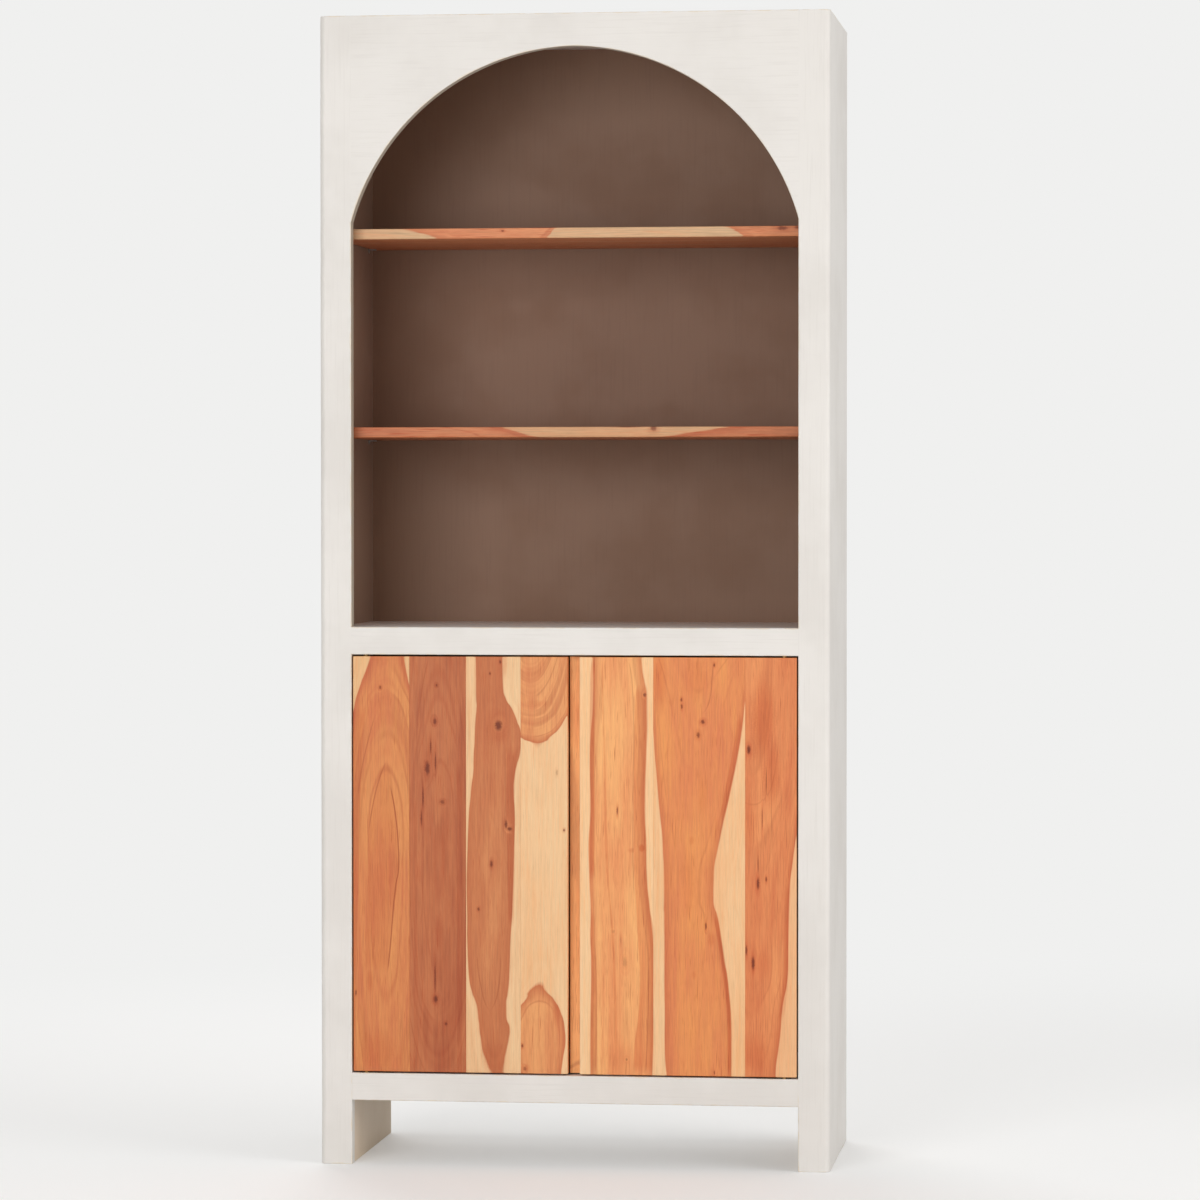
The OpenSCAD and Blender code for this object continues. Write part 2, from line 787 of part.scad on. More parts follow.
side_panel_left();
side_panel_right();
stile_left();
stile_right();
arch_header();
mid_rail();
bottom_rail();
top_panel();
niche_floor_board();
cupboard_floor_board();
back_panel();
foot_block_left();
foot_block_right();
stile_dowels();
foot_dowels();
back_panel_nails();
upper_shelf();
lower_shelf();
cupboard_shelf();
upper_shelf_pins();
lower_shelf_pins();
cupboard_shelf_pins();
left_door_board_1();
left_door_board_2();
left_door_board_3();
left_door_board_4();
right_door_board_1();
right_door_board_2();
right_door_board_3();
left_door_upper_batten();
left_door_lower_batten();
right_door_upper_batten();
right_door_lower_batten();
left_batten_screws();
right_batten_screws();
meeting_strip();
meeting_strip_screws();
left_frame_leaves();
right_frame_leaves();
left_door_leaves();
right_door_leaves();
left_pivot_pins();
right_pivot_pins();
left_pivot_washers();
right_pivot_washers();
frame_leaf_screws();
left_leaf_screws();
right_leaf_screws();
catch_bodies();
catch_magnets();
catch_screws();
left_strike_plate();
right_strike_plate();
left_strike_screw();
right_strike_screw();
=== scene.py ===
"""Tall bookcase: a painted case with an arched niche above a cupboard with two doors of solid wood boards."""
from math import atan2, pi, radians, sqrt

import bpy
import numpy as np
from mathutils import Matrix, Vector


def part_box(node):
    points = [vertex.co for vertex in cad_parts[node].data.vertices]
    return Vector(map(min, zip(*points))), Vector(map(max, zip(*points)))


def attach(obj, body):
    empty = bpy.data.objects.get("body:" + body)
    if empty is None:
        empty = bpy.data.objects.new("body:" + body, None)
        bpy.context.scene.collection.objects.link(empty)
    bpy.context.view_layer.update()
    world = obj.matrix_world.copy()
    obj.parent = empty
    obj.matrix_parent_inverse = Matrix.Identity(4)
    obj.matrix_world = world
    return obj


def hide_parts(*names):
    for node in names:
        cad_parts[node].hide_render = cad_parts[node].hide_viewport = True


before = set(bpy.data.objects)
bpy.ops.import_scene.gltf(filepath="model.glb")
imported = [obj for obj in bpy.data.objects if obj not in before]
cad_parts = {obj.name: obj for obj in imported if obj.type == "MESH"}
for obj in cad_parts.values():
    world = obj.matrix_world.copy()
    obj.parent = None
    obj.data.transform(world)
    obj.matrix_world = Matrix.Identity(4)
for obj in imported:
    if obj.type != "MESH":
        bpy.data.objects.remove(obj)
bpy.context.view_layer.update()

MM = 0.001
FAR = 1.0

# Sizes that the frame gives, in metres
front_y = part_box("mid_rail")[0].y
frame_back_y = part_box("mid_rail")[1].y
lining_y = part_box("back_panel")[0].y
open_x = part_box("stile_right")[0].x
inner_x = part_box("side_panel_right")[0].x
foot_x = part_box("foot_block_right")[0].x
spring_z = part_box("arch_header")[0].z
case_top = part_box("arch_header")[1].z
niche_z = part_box("niche_floor_board")[1].z
foot_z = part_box("bottom_rail")[0].z
cupboard_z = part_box("bottom_rail")[1].z
door_head_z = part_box("mid_rail")[0].z

# The two arcs of the arch: each is drawn from a centre just past the middle
arch_rise = 301 * MM
crown_offset = 7 * MM
arch_drop = ((open_x + crown_offset) ** 2 - crown_offset ** 2 - arch_rise ** 2) / (2 * arch_rise)
arch_z = spring_z - arch_drop
arch_r = sqrt((open_x + crown_offset) ** 2 + arch_drop ** 2)


def srgb(red, green, blue):
    """A linear colour from a colour as a screen shows it, 0 to 255."""
    shown = np.array([red, green, blue]) / 255
    linear = np.where(shown <= 0.04045, shown / 12.92, ((shown + 0.055) / 1.055) ** 2.4)
    return (*linear.tolist(), 1.0)


# Node wiring
def reckoning(operation):
    """A method of Value that does the operation on it and on what else it is given."""
    def method(value, *others):
        return value.wiring.reckon(operation, value, *others)
    return method


class Value:
    """What a node puts out. Numbers and vectors are reckoned with like plain ones."""

    def __init__(self, wiring, socket):
        self.wiring = wiring
        self.socket = socket

    __add__ = reckoning("ADD")
    __sub__ = reckoning("SUBTRACT")
    __mul__ = reckoning("MULTIPLY")
    __truediv__ = reckoning("DIVIDE")
    __abs__ = reckoning("ABSOLUTE")
    __lt__ = reckoning("LESS_THAN")
    __gt__ = reckoning("GREATER_THAN")
    larger = reckoning("MAXIMUM")
    smaller = reckoning("MINIMUM")
    root = reckoning("SQRT")

    def parts(self):
        """The X, Y and Z of a vector."""
        node = self.wiring.add("ShaderNodeSeparateXYZ", {0: self})
        return [Value(self.wiring, socket) for socket in node.outputs]

    def ramp(self, start, end, low=0.0, high=1.0, kind="SMOOTHSTEP"):
        """Low below start and high above end, with a smooth or a straight climb between them."""
        fed = {0: self, 1: start, 2: end, 3: low, 4: high}
        return self.wiring.value("ShaderNodeMapRange", fed, interpolation_type=kind)

    def noise(self, scale, detail=2.0, roughness=0.5):
        """Noise at this position, with about scale spots to the metre."""
        fed = {"Vector": self, "Scale": scale, "Detail": detail, "Roughness": roughness}
        return self.wiring.value("ShaderNodeTexNoise", fed)

    def bands(self, scale, detail=0.0):
        """Noise along this one number, so that it is the same wherever the number is."""
        fed = {"W": self, "Scale": scale, "Detail": detail}
        return self.wiring.value("ShaderNodeTexNoise", fed, noise_dimensions="1D")

    def drawn_together(self, line, share):
        """This position drawn together along X, Y or Z, so that noise on it lies in streaks that way."""
        return self * tuple(share if axis == line else 1.0 for axis in "XYZ")

    def track(self, points):
        """What lies over this value on a smooth curve through (place, height) points."""
        points = np.array(points, dtype=float)
        points = points[np.argsort(points[:, 0])]
        start, end = points[[0, -1], 0]
        low, high = points[:, 1].min(), points[:, 1].max()
        shares = (points - [start, low]) / [end - start, max(high - low, 1e-9)]
        node = self.wiring.add("ShaderNodeFloatCurve", {"Value": self.ramp(start, end, kind="LINEAR")})
        curve = node.mapping.curves[0]
        curve.points[0].location = shares[0]
        curve.points[1].location = shares[-1]
        for share in shares[1:-1]:
            curve.points.new(*share)
        node.mapping.update()
        return Value(self.wiring, node.outputs[0]).ramp(0.0, 1.0, low, high, "LINEAR")


class Wiring:
    """Adds and joins the nodes of one material or node group."""

    def __init__(self, tree):
        self.tree = tree

    def feed(self, socket, value):
        """Join a node's value to the socket, or set a plain one there."""
        if isinstance(value, Value):
            self.tree.links.new(value.socket, socket)
        else:
            socket.default_value = value

    def add(self, kind, fed=None, **settings):
        """A node of the kind with its settings, its inputs fed by name or number."""
        node = self.tree.nodes.new(kind)
        for setting, value in settings.items():
            setattr(node, setting, value)
        for socket, value in (fed or {}).items():
            self.feed(node.inputs[socket], value)
        return node

    def value(self, kind, fed=None, output=0, **settings):
        """What a new node puts out."""
        return Value(self, self.add(kind, fed, **settings).outputs[output])

    def reckon(self, operation, *numbers):
        """The result of an operation on numbers or, where one of them is a vector, on vectors."""
        vectors = any(isinstance(number, Value) and number.socket.type == "VECTOR" for number in numbers)
        kind = "ShaderNodeVectorMath" if vectors else "ShaderNodeMath"
        return self.value(kind, dict(enumerate(numbers)), operation=operation)

    def vector(self, x=0.0, y=0.0, z=0.0):
        return self.value("ShaderNodeCombineXYZ", {0: x, 1: y, 2: z})

    def mix(self, share, first, second, blend="MIX"):
        """The first colour where share is nought and the second one where it is one."""
        fed = {0: share, 6: first, 7: second}
        return self.value("ShaderNodeMix", fed, 2, data_type="RGBA", blend_type=blend)

    def blend(self, share, first, second):
        """The first shader where share is nought and the second one where it is one."""
        return self.value("ShaderNodeMixShader", {0: share, 1: first, 2: second})

    def values(self, kind, fed=None, **settings):
        """All that a new node puts out, by name."""
        node = self.add(kind, fed, **settings)
        return {socket.name: Value(self, socket) for socket in node.outputs}

    def group(self, tree, **fed):
        """All that a placed node group puts out, by name."""
        return self.values("ShaderNodeGroup", fed, node_tree=tree)


def node_group(name, inputs, outputs):
    """A new node group, its wiring, its inputs as values and its outputs as sockets to feed.

    inputs and outputs give the names of the sockets for each kind of socket.
    """
    tree = bpy.data.node_groups.new(name, "ShaderNodeTree")
    for side, sockets in (("INPUT", inputs), ("OUTPUT", outputs)):
        for kind, labels in sockets.items():
            for label in labels:
                tree.interface.new_socket(label, in_out=side, socket_type="NodeSocket" + kind)
    wiring = Wiring(tree)
    given = {socket.name: Value(wiring, socket) for socket in tree.nodes.new("NodeGroupInput").outputs}
    return tree, wiring, given, tree.nodes.new("NodeGroupOutput").inputs


def material(name, roughness=0.5, metallic=0.0, gloss=0.5):
    """A new material, its wiring, its shader, and the position on the object."""
    made = bpy.data.materials.new(name)
    made.use_nodes = True
    wiring = Wiring(made.node_tree)
    shader = made.node_tree.nodes["Principled BSDF"]
    shader.inputs["Roughness"].default_value = roughness
    shader.inputs["Metallic"].default_value = metallic
    shader.inputs["Specular IOR Level"].default_value = gloss
    return made, wiring, shader, wiring.value("ShaderNodeTexCoord", output="Object")


def lay_on(wiring, shader, colour, roughness, height, relief):
    """Feed the shader its colour and roughness, and raise the surface by height, up to relief in metres."""
    normal = wiring.value("ShaderNodeBump", {"Height": height, "Distance": relief, "Strength": 1.0})
    wiring.feed(shader.inputs["Base Color"], colour)
    wiring.feed(shader.inputs["Roughness"], roughness)
    wiring.feed(shader.inputs["Normal"], normal)


# Edge wear: how near a point on a board lies to one of the board's edges
def make_edge_wear():
    """Mask of the worn edges of a box.

    On a face of the box the smallest distance to a side of the box is nought, so the distance to the nearest
    edge is the middle one of the three. Noise makes the worn line wider here and narrower there.
    """
    inputs = dict(Vector=("Position", "Low", "High"), Float=("Width",))
    tree, wiring, given, result = node_group("edge_wear", inputs, dict(Float=("Mask",)))
    below = given["Position"] - given["Low"]
    above = given["High"] - given["Position"]
    x, y, z = below.smaller(above).parts()
    middle = x.smaller(y).larger(x.larger(y).smaller(z))
    patches = given["Position"].noise(35.0, 3.0)
    reach = given["Width"] * patches.ramp(0.35, 0.7, 0.1, 1.6)
    wiring.feed(result["Mask"], (middle / reach).ramp(0.4, 1.0, 1.0, 0.0))
    return tree


edge_wear = make_edge_wear()


# Brushed paint: faint clouds and brush marks, and a worn line where an edge mask says so
def make_brushed_paint():
    """Colour, roughness and height of hand-brushed paint.

    Brush is the position drawn together along the brush's stroke, so that noise on it lies in long streaks.
    """
    inputs = dict(Vector=("Position", "Brush"), Float=("Wear",), Color=("Paint", "Cloud", "Worn"))
    outputs = dict(Color=("Color",), Float=("Roughness", "Height"))
    tree, wiring, given, result = node_group("brushed_paint", inputs, outputs)
    wear = given["Wear"]
    clouds = given["Position"].noise(4.5, 4.0, 0.6).ramp(0.38, 0.68)
    strokes = given["Brush"].noise(260.0, 3.0, 0.6)
    grain = given["Position"].noise(1100.0, 1.0)
    colour = wiring.mix(clouds * 0.45, given["Paint"], given["Cloud"])
    colour = wiring.mix(strokes.ramp(0.48, 0.74) * 0.34, colour, given["Cloud"])
    wiring.feed(result["Color"], wiring.mix(wear * 0.55, colour, given["Worn"]))
    wiring.feed(result["Roughness"], clouds.ramp(0.0, 1.0, 0.5, 0.58) + wear * 0.15)
    wiring.feed(result["Height"], strokes * 0.7 + grain * 0.2 - wear * 0.6)
    return tree


brushed_paint = make_brushed_paint()

# Coats of paint, as they look in plain light: the paint, its clouds and its worn edges. The grey tan and warm
# tan coats are painted shade
OFF_WHITE_COAT = srgb(229, 225, 220), srgb(214, 209, 203), srgb(224, 208, 182)
TAUPE_COAT = srgb(137, 105, 84), srgb(127, 96, 77), srgb(160, 134, 112)
# Grey tan: painted shade on the arch's soffit and on the stiles' edges in the niche
PAINTED_SHADE_COAT = srgb(188, 178, 162), srgb(174, 162, 144), srgb(206, 190, 165)
# Warm tan: painted shade, in the warm tint of bounced light, on the foot blocks' inner faces
PAINTED_WARM_SHADE_COAT = srgb(228, 209, 186), srgb(216, 196, 171), srgb(222, 202, 172)
BRUSH_STRETCH = 0.035
WORN_WIDTH = 2.2 * MM


# Masks that say where on a board a coat or a painted shade lies, or an edge is worn
def skin(depth, start=0.6 * MM, end=1.4 * MM):
    """Mask of a face, from the depth of each point behind it: it fades out between start and end."""
    return depth.ramp(start, end, 1.0, 0.0)


def above_niche_floor(z):
    """Mask of all that lies higher than the niche's floor."""
    return z.ramp(niche_z - 1 * MM, niche_z, kind="LINEAR")


def behind_front(y):
    """Mask of all that lies behind the eased front edge of the face frame."""
    return y.ramp(front_y + 1.2 * MM, front_y + 2.2 * MM)


def outside_arch(x, z):
    """The distance from the nearer centre of the arch, less its radius."""
    across = abs(x) + crown_offset
    up = z - arch_z
    return (across * across + up * up).root() - arch_r


def arch_wear(position):
    """Mask of the worn front edge of the arch, from the distances to its soffit and to its face."""
    x, y, z = position.parts()
    away = outside_arch(x, z).larger(y - front_y)
    width = position.noise(30.0, 3.0).ramp(0.35, 0.7, 0.8 * MM, 4 * MM)
    return away.ramp(width, 0.5 * MM)


def soffit_painted_shade(position):
    """Mask of the arch's soffit, where the paint turns a grey tan: painted shade."""
    x, y, z = position.parts()
    return skin(outside_arch(x, z)) * behind_front(y)


def stile_edge_painted_shade(position):
    """Mask of a stile's edge in the niche, where the paint turns a grey tan: painted shade."""
    x, y, z = position.parts()
    return skin(abs(x) - open_x) * above_niche_floor(z) * behind_front(y)


def foot_painted_shade(position):
    """Mask of a foot block's inner face, where the paint turns a warm tan: painted shade in the warm tint of
    bounced light.
    """
    return skin(abs(position.parts()[0]) - foot_x)


def side_lining(position):
    """Mask of a side panel's face in the niche, where a little off-white shows through the taupe."""
    x, y, z = position.parts()
    return skin(abs(x) - inner_x, 0.4 * MM, 0.6 * MM) * above_niche_floor(z) * 0.94


def back_lining(position):
    """Mask of the back panel's front face."""
    return skin(position.parts()[1] - lining_y, 1 * MM, 2 * MM)


def frame_joints(position):
    """Mask of a stile's inner edge where the header or the middle rail meets it flush, and nothing wears."""
    x, y, z = position.parts()
    beside_rail = abs(z - (door_head_z + niche_z) / 2) < (niche_z - door_head_z) / 2
    return (abs(x) < open_x + 8 * MM) * (z > spring_z).larger(beside_rail)


def paint(name, low, high, stroke, lined=None, lining=TAUPE_COAT, arched=False, joined=None):
    """Brushed off-white paint on one board of the case.

    low and high are the board's corners, for the wear on its edges, and stroke is the brush's way. The two
    masks are functions of the position: the first says where the second coat lies, and joined says which
    edges don't wear. The second coat is the niche's taupe paint on some boards, and a grey or warm tan of
    painted shade on others.
    """
    made, wiring, shader, position = material(name, gloss=0.3)
    wear = wiring.group(edge_wear, Position=position, Low=low, High=high, Width=WORN_WIDTH)["Mask"]
    if joined:
        wear = wear - wear * joined(position)
    if arched:
        wear = wear.larger(arch_wear(position))
    coat = OFF_WHITE_COAT
    if lined:
        mask = lined(position)
        coat = [wiring.mix(mask, colour, other) for colour, other in zip(coat, lining)]
    brush = position.drawn_together(stroke, BRUSH_STRETCH)
    layer = wiring.group(brushed_paint, Position=position, Brush=brush, Wear=wear,
                         Paint=coat[0], Cloud=coat[1], Worn=coat[2])
    lay_on(wiring, shader, layer["Color"], layer["Roughness"], layer["Height"], relief=0.12 * MM)
    return made


# Sawn wood: growth rings round a pith, cut by the face of a board
def make_sawn_wood():
    """Colour, roughness and height of a sawn and sanded hardwood board.

    The rings are the distance from a pith that lies off the face. Reach is the signed square of half the
    width that the heartwood has on the face at this place, and Heart is the heartwood's radius, so the pith
    lies sqrt(Heart^2 - Reach) off the face. Swell pushes the rings out round knots.
    """
    inputs = dict(Vector=("Fibre", "Wave"), Color=("Light", "Dark", "Sap", "Line"),
                  Float=("Across", "Depth", "Reach", "Heart", "Seed", "Swell", "Knot", "Vein", "Rings",
                         "Streaks"))
    outputs = dict(Color=("Color",), Float=("Roughness", "Height"))
    tree, wiring, given, result = node_group("sawn_wood", inputs, outputs)
    radius, light, dark, line = (given[label] for label in ("Heart", "Light", "Dark", "Line"))
    pith = (radius * radius - given["Reach"]).larger(1e-8).root()
    off = pith - given["Depth"]
    wander = given["Wave"].noise(18.0) * (2.4 * MM) - 1.2 * MM
    streak = given["Fibre"].noise(240.0, 2.0, 0.6)
    ragged = (streak * (0.5 * MM) - 0.25 * MM) * given["Streaks"]
    ring = (given["Across"] * given["Across"] + off * off).root() + (wander + ragged)
    past = ring - radius
    heart = past.ramp(-0.25 * MM, 0.15 * MM, 1.0, 0.0)

    # Broad and narrow bands and thin lines follow the rings, patches and streaks run along the grain
    placed = ring + given["Swell"] + given["Seed"]
    broad = placed.bands(75.0, 1.0).ramp(0.3, 0.7)
    narrow = placed.bands(360.0, 1.0).ramp(0.25, 0.75)
    patches = (given["Wave"] + wiring.vector(y=given["Seed"])).noise(22.0, 3.0, 0.55).ramp(0.32, 0.68)
    tone = (broad * 0.38 + narrow * 0.22) * given["Rings"] + patches * 0.6 + streak.ramp(0.3, 0.7) * 0.3
    from_line = abs(placed.bands(95.0, 0.5) - 0.5)
    ring_line = from_line.ramp(0.004, 0.055, 0.38, 0.0) * given["Rings"] * patches.ramp(0.15, 0.8)
    heartwood = wiring.mix(ring_line, wiring.mix(tone, dark, light), line)
    pale = streak.ramp(0.42, 0.75) * 0.24 + patches * 0.24 + narrow * 0.1
    wood = wiring.mix(heart, wiring.mix(pale, given["Sap"], light), heartwood)

    # The heartwood's edge is darker: a thin line on both sides of it, and a wide rim that fades inwards
    edge = abs(past).ramp(0.05 * MM, 0.5 * MM, 0.4, 0.0)
    rim = edge.larger(past.ramp(-5 * MM, 0.0, 0.0, 0.66) * heart)
    wood = wiring.mix(rim, wood, wiring.mix(0.35, dark, line))

    # Fine fibres, pores, veins and knots lie over the bands
    fine = given["Fibre"].noise(1000.0, 2.0, 0.6)
    fibre = given["Fibre"].noise(480.0, 2.0, 0.6)
    stronger = given["Streaks"].ramp(1.0, 4.0, 1.0, 1.7, "LINEAR")
    level = (fine * 0.16 + (fibre * 0.5 - 0.33)) * stronger + 1.0
    wood = wiring.mix(1.0, wood, wiring.vector(level, level, level), "MULTIPLY")
    pores = given["Fibre"].noise(1500.0, 1.0).ramp(0.62, 0.74)
    wood = wiring.mix(pores * heart.ramp(0.0, 1.0, 0.16, 0.32), wood, line)
    dark_fibres = fibre.ramp(0.55, 0.72) * heart.ramp(0.0, 1.0, 0.2, 0.6)
    wood = wiring.mix(dark_fibres * stronger, wood, line)
    knot_wood = wiring.mix(0.6, line, NEARLY_BLACK)
    wood = wiring.mix(given["Vein"], wood, wiring.mix(0.25, line, knot_wood))
    wiring.feed(result["Color"], wiring.mix(given["Knot"] * 0.9, wood, knot_wood))
    wiring.feed(result["Roughness"], pores * 0.15 + streak.ramp(0.2, 0.8, 0.44, 0.54))
    relief = fine * 0.35 + narrow * 0.15 - pores * 0.5
    wiring.feed(result["Height"], relief - given["Knot"] * 0.5)
    return tree


def make_wood_mark():
    """A knot, dot or short crack: a ragged oval with a dark middle that pushes the rings round it out.

    Place and Height are its middle, across and along the board, and Width and Length are half its size.
    """
    inputs = dict(Float=("Across", "Along", "Place", "Height", "Width", "Length"))
    tree, wiring, given, result = node_group("wood_mark", inputs, dict(Float=("Dark", "Halo", "Swell")))
    bent = wiring.vector(given["Across"], given["Along"]).noise(330.0) * 1.6 - 0.8
    sideways = (given["Across"] - given["Place"]) / given["Width"] + bent
    lengthways = (given["Along"] - given["Height"]) / given["Length"]
    away = (sideways * sideways + lengthways * lengthways).root()
    wiring.feed(result["Dark"], away.ramp(0.5, 1.7, 1.0, 0.0))
    wiring.feed(result["Halo"], away.ramp(0.8, 3.6, 1.0, 0.0))
    wiring.feed(result["Swell"], away.ramp(0.0, 4.5, 1.0, 0.0) * (given["Width"] * 2.0))
    return tree


NEARLY_BLACK = (0.03, 0.01, 0.004, 1.0)
RED_STAIN = srgb(226, 172, 150)
FIBRE_STRETCH = 0.03
WAVE_STRETCH = 0.2
USUAL_SHARE = 0.85

sawn_wood = make_sawn_wood()
wood_mark = make_wood_mark()


def heart_tracks(heart):
    """Centre and reach of the heartwood, from (place, edge, other edge) in millimetres.

    The centre is half way between the edges. The reach is half the width times its own size, so it is
    negative where the edges have changed places and the face has only sapwood.
    """
    place, edge, other = np.array(heart, dtype=float).T * MM
    half = (other - edge) / 2
    return np.stack([place, (other + edge) / 2], axis=1), np.stack([place, half * np.abs(half)], axis=1)


def between_ends(along, rows):
    """Mask that fades a line in and out at the ends of its rows."""
    start, end = rows[:, 0].min(), rows[:, 0].max()
    return along.ramp(start - 5 * MM, start + 20 * MM) * along.ramp(end - 20 * MM, end + 5 * MM, 1.0, 0.0)


def wood(name, grain, front, seed, heart, tones, heart_radius=150, marks=(), veins=(), stains=(), bands=(),
         rings=1.0, streaks=1.0, glued=None):
    """Material of one board, its grain along X or Z and its front face at front.

    marks are knots and cracks, and stains are soft patches of a redder tone: (across, along, half width,
    half height, share), where a mark may leave out its share. veins are dark lines, each a share and its
    (along, across) points, and bands are redder stripes, each a share and its (along, edge, other edge)
    rows. All are in millimetres. rings and streaks are how strongly the growth rings and the fibres show,
    and glued is the width of the strips of a deep board, where the marks fade out with the depth.
    """
    made, wiring, shader, position = material(name, gloss=0.25)
    x, y, z = position.parts()
    along, across = (x, z) if grain == "X" else (z, x)
    depth = y - front
    light, dark, sap, line = tones
    through = 1.0

    # Each strip of a glued board has rings of its own and is a little lighter or darker
    if glued:
        through = depth.ramp(4 * MM, 22 * MM, 1.0, 0.0)
        strip = wiring.reckon("FLOOR", depth / glued)
        depth = wiring.reckon("WRAP", depth, glued, 0.0)
        light = wiring.mix((strip + (seed + 0.5)).bands(7.3) * 0.6, light, dark)
        seed = strip * 0.137 + seed

    # The marks, stains, veins and bands of the figure
    def oval(place, height, width, length):
        return wiring.group(wood_mark, Across=across, Along=along, Place=place * MM, Height=height * MM,
                            Width=width * MM, Length=length * MM)

    swell = knot = dark_vein = halo = 0.0
    for place, height, width, length, *own_share in marks:
        mark = oval(place, height, width, length)
        share = through * (own_share[0] if own_share else USUAL_SHARE)
        swell = mark["Swell"] * through + swell
        knot = (mark["Dark"] * share).larger(knot)
        halo = (mark["Halo"] * share * 0.5).larger(halo)
    for place, height, width, length, share in stains:
        halo = (oval(place, height, width / 3, length / 3)["Halo"] * share).larger(halo)
    for share, rows in veins:
        rows = np.array(rows) * MM
        vein = abs(across - along.track(rows)).ramp(0.2 * MM, 1.8 * MM, share, 0.0)
        dark_vein = (vein * between_ends(along, rows)).larger(dark_vein)
    for share, rows in bands:
        rows = np.array(rows) * MM
        inside = (across - along.track(rows[:, [0, 1]])).smaller(along.track(rows[:, [0, 2]]) - across)
        band = inside.ramp(-0.5 * MM, 1.3 * MM, 0.0, share)
        halo = (band * between_ends(along, rows)).larger(halo)

    centres, reaches = heart_tracks(heart)
    face = wiring.group(
        sawn_wood, Fibre=position.drawn_together(grain, FIBRE_STRETCH),
        Wave=position.drawn_together(grain, WAVE_STRETCH), Across=across - along.track(centres),
        Depth=depth, Reach=along.track(reaches), Heart=heart_radius * MM, Seed=seed, Swell=swell, Knot=knot,
        Vein=dark_vein, Rings=rings, Streaks=streaks, Light=light, Dark=dark, Sap=sap, Line=line)
    colour = wiring.mix(halo, face["Color"], RED_STAIN, "MULTIPLY")
    lay_on(wiring, shader, colour, face["Roughness"], face["Height"], relief=0.15 * MM)
    return made


# Meshes
def in_scene(name, data):
    """A new object in the scene, which holds a mesh, a lamp or a camera."""
    holder = bpy.data.objects.new(name, data)
    bpy.context.scene.collection.objects.link(holder)
    return holder


def new_piece(name, points, faces, wears):
    """A piece from its points and faces, with its place in its mesh, dressed in one material."""
    mesh = bpy.data.meshes.new(name)
    mesh.from_pydata(points, [], faces)
    mesh.materials.append(wears)
    return in_scene(name, mesh)


def settle(piece):
    """Put the piece's modifiers into its mesh."""
    bpy.context.view_layer.update()
    depsgraph = bpy.context.evaluated_depsgraph_get()
    mesh = bpy.data.meshes.new_from_object(piece.evaluated_get(depsgraph), preserve_all_data_layers=True,
                                           depsgraph=depsgraph)
    piece.modifiers.clear()
    piece.data = mesh


def shade(piece):
    """Smooth shading over the eased edges, with the flat faces kept flat and the square edges sharp."""
    piece.data.shade_smooth()
    piece.data.set_sharp_from_angle(angle=radians(38))
    weigh = piece.modifiers.new("weigh", "WEIGHTED_NORMAL")
    weigh.keep_sharp = True
    weigh.weight = 100
    settle(piece)


def lattice_skin(low, high, cuts):
    """The skin of a box with box-shaped cuts: its corners, its quads, and each quad's axis and outer side.

    The planes of the box and of the cuts share the space out into cells, and a cell is full where its
    middle lies in no cut. A quad stands wherever a full cell meets an empty one, and faces the empty one.
    The outer side is 0 or 1 where the quad lies in the box's own low or high side, and -1 in a cut.
    """
    planes = []
    for axis in range(3):
        marks = [low[axis], high[axis]]
        marks += [min(max(corner[axis], low[axis]), high[axis]) for cut in cuts for corner in cut]
        planes.append(np.unique(np.round(marks, 6)))
    halfway = [(plane[1:] + plane[:-1]) / 2 for plane in planes]
    middles = np.stack(np.meshgrid(*halfway, indexing="ij"), axis=-1)
    full = np.ones(middles.shape[:3], dtype=bool)
    for cut_low, cut_high in cuts:
        full &= ~np.all((middles > np.array(cut_low)) & (middles < np.array(cut_high)), axis=-1)
    filled = np.pad(full, 1).astype(int)
    quads, axes, sides = [], [], []
    for axis in range(3):
        inner = [slice(1, -1)] * 3
        inner[axis] = slice(None)
        change = np.diff(filled, axis=axis)[tuple(inner)]
        for side, sign in enumerate((1, -1)):
            first = np.argwhere(change == sign)
            corners = np.repeat(first[:, None, :], 4, axis=1)
            corners[:, 1:3, (axis + 1) % 3] += 1
            corners[:, 2:4, (axis + 2) % 3] += 1
            outer = first[:, axis] == (len(planes[axis]) - 1) * side
            quads.append(corners if side else corners[:, ::-1])
            axes.append(np.full(len(first), axis))
            sides.append(np.where(outer, side, -1))
    quads = np.concatenate(quads)
    counts = [len(plane) for plane in planes]
    numbers = np.ravel_multi_index(tuple(np.moveaxis(quads, -1, 0)), counts)
    numbers, quads = np.unique(numbers, return_inverse=True)
    places = np.unravel_index(numbers, counts)
    points = np.stack([plane[place] for plane, place in zip(planes, places)], axis=-1)
    return points, quads.reshape(-1, 4), np.concatenate(axes), np.concatenate(sides)


def edge_numbers(pairs, count):
    """One number for each pair of corners, whichever way round."""
    pairs = np.sort(pairs, axis=-1)
    return pairs[..., 0].astype(np.int64) * count + pairs[..., 1]


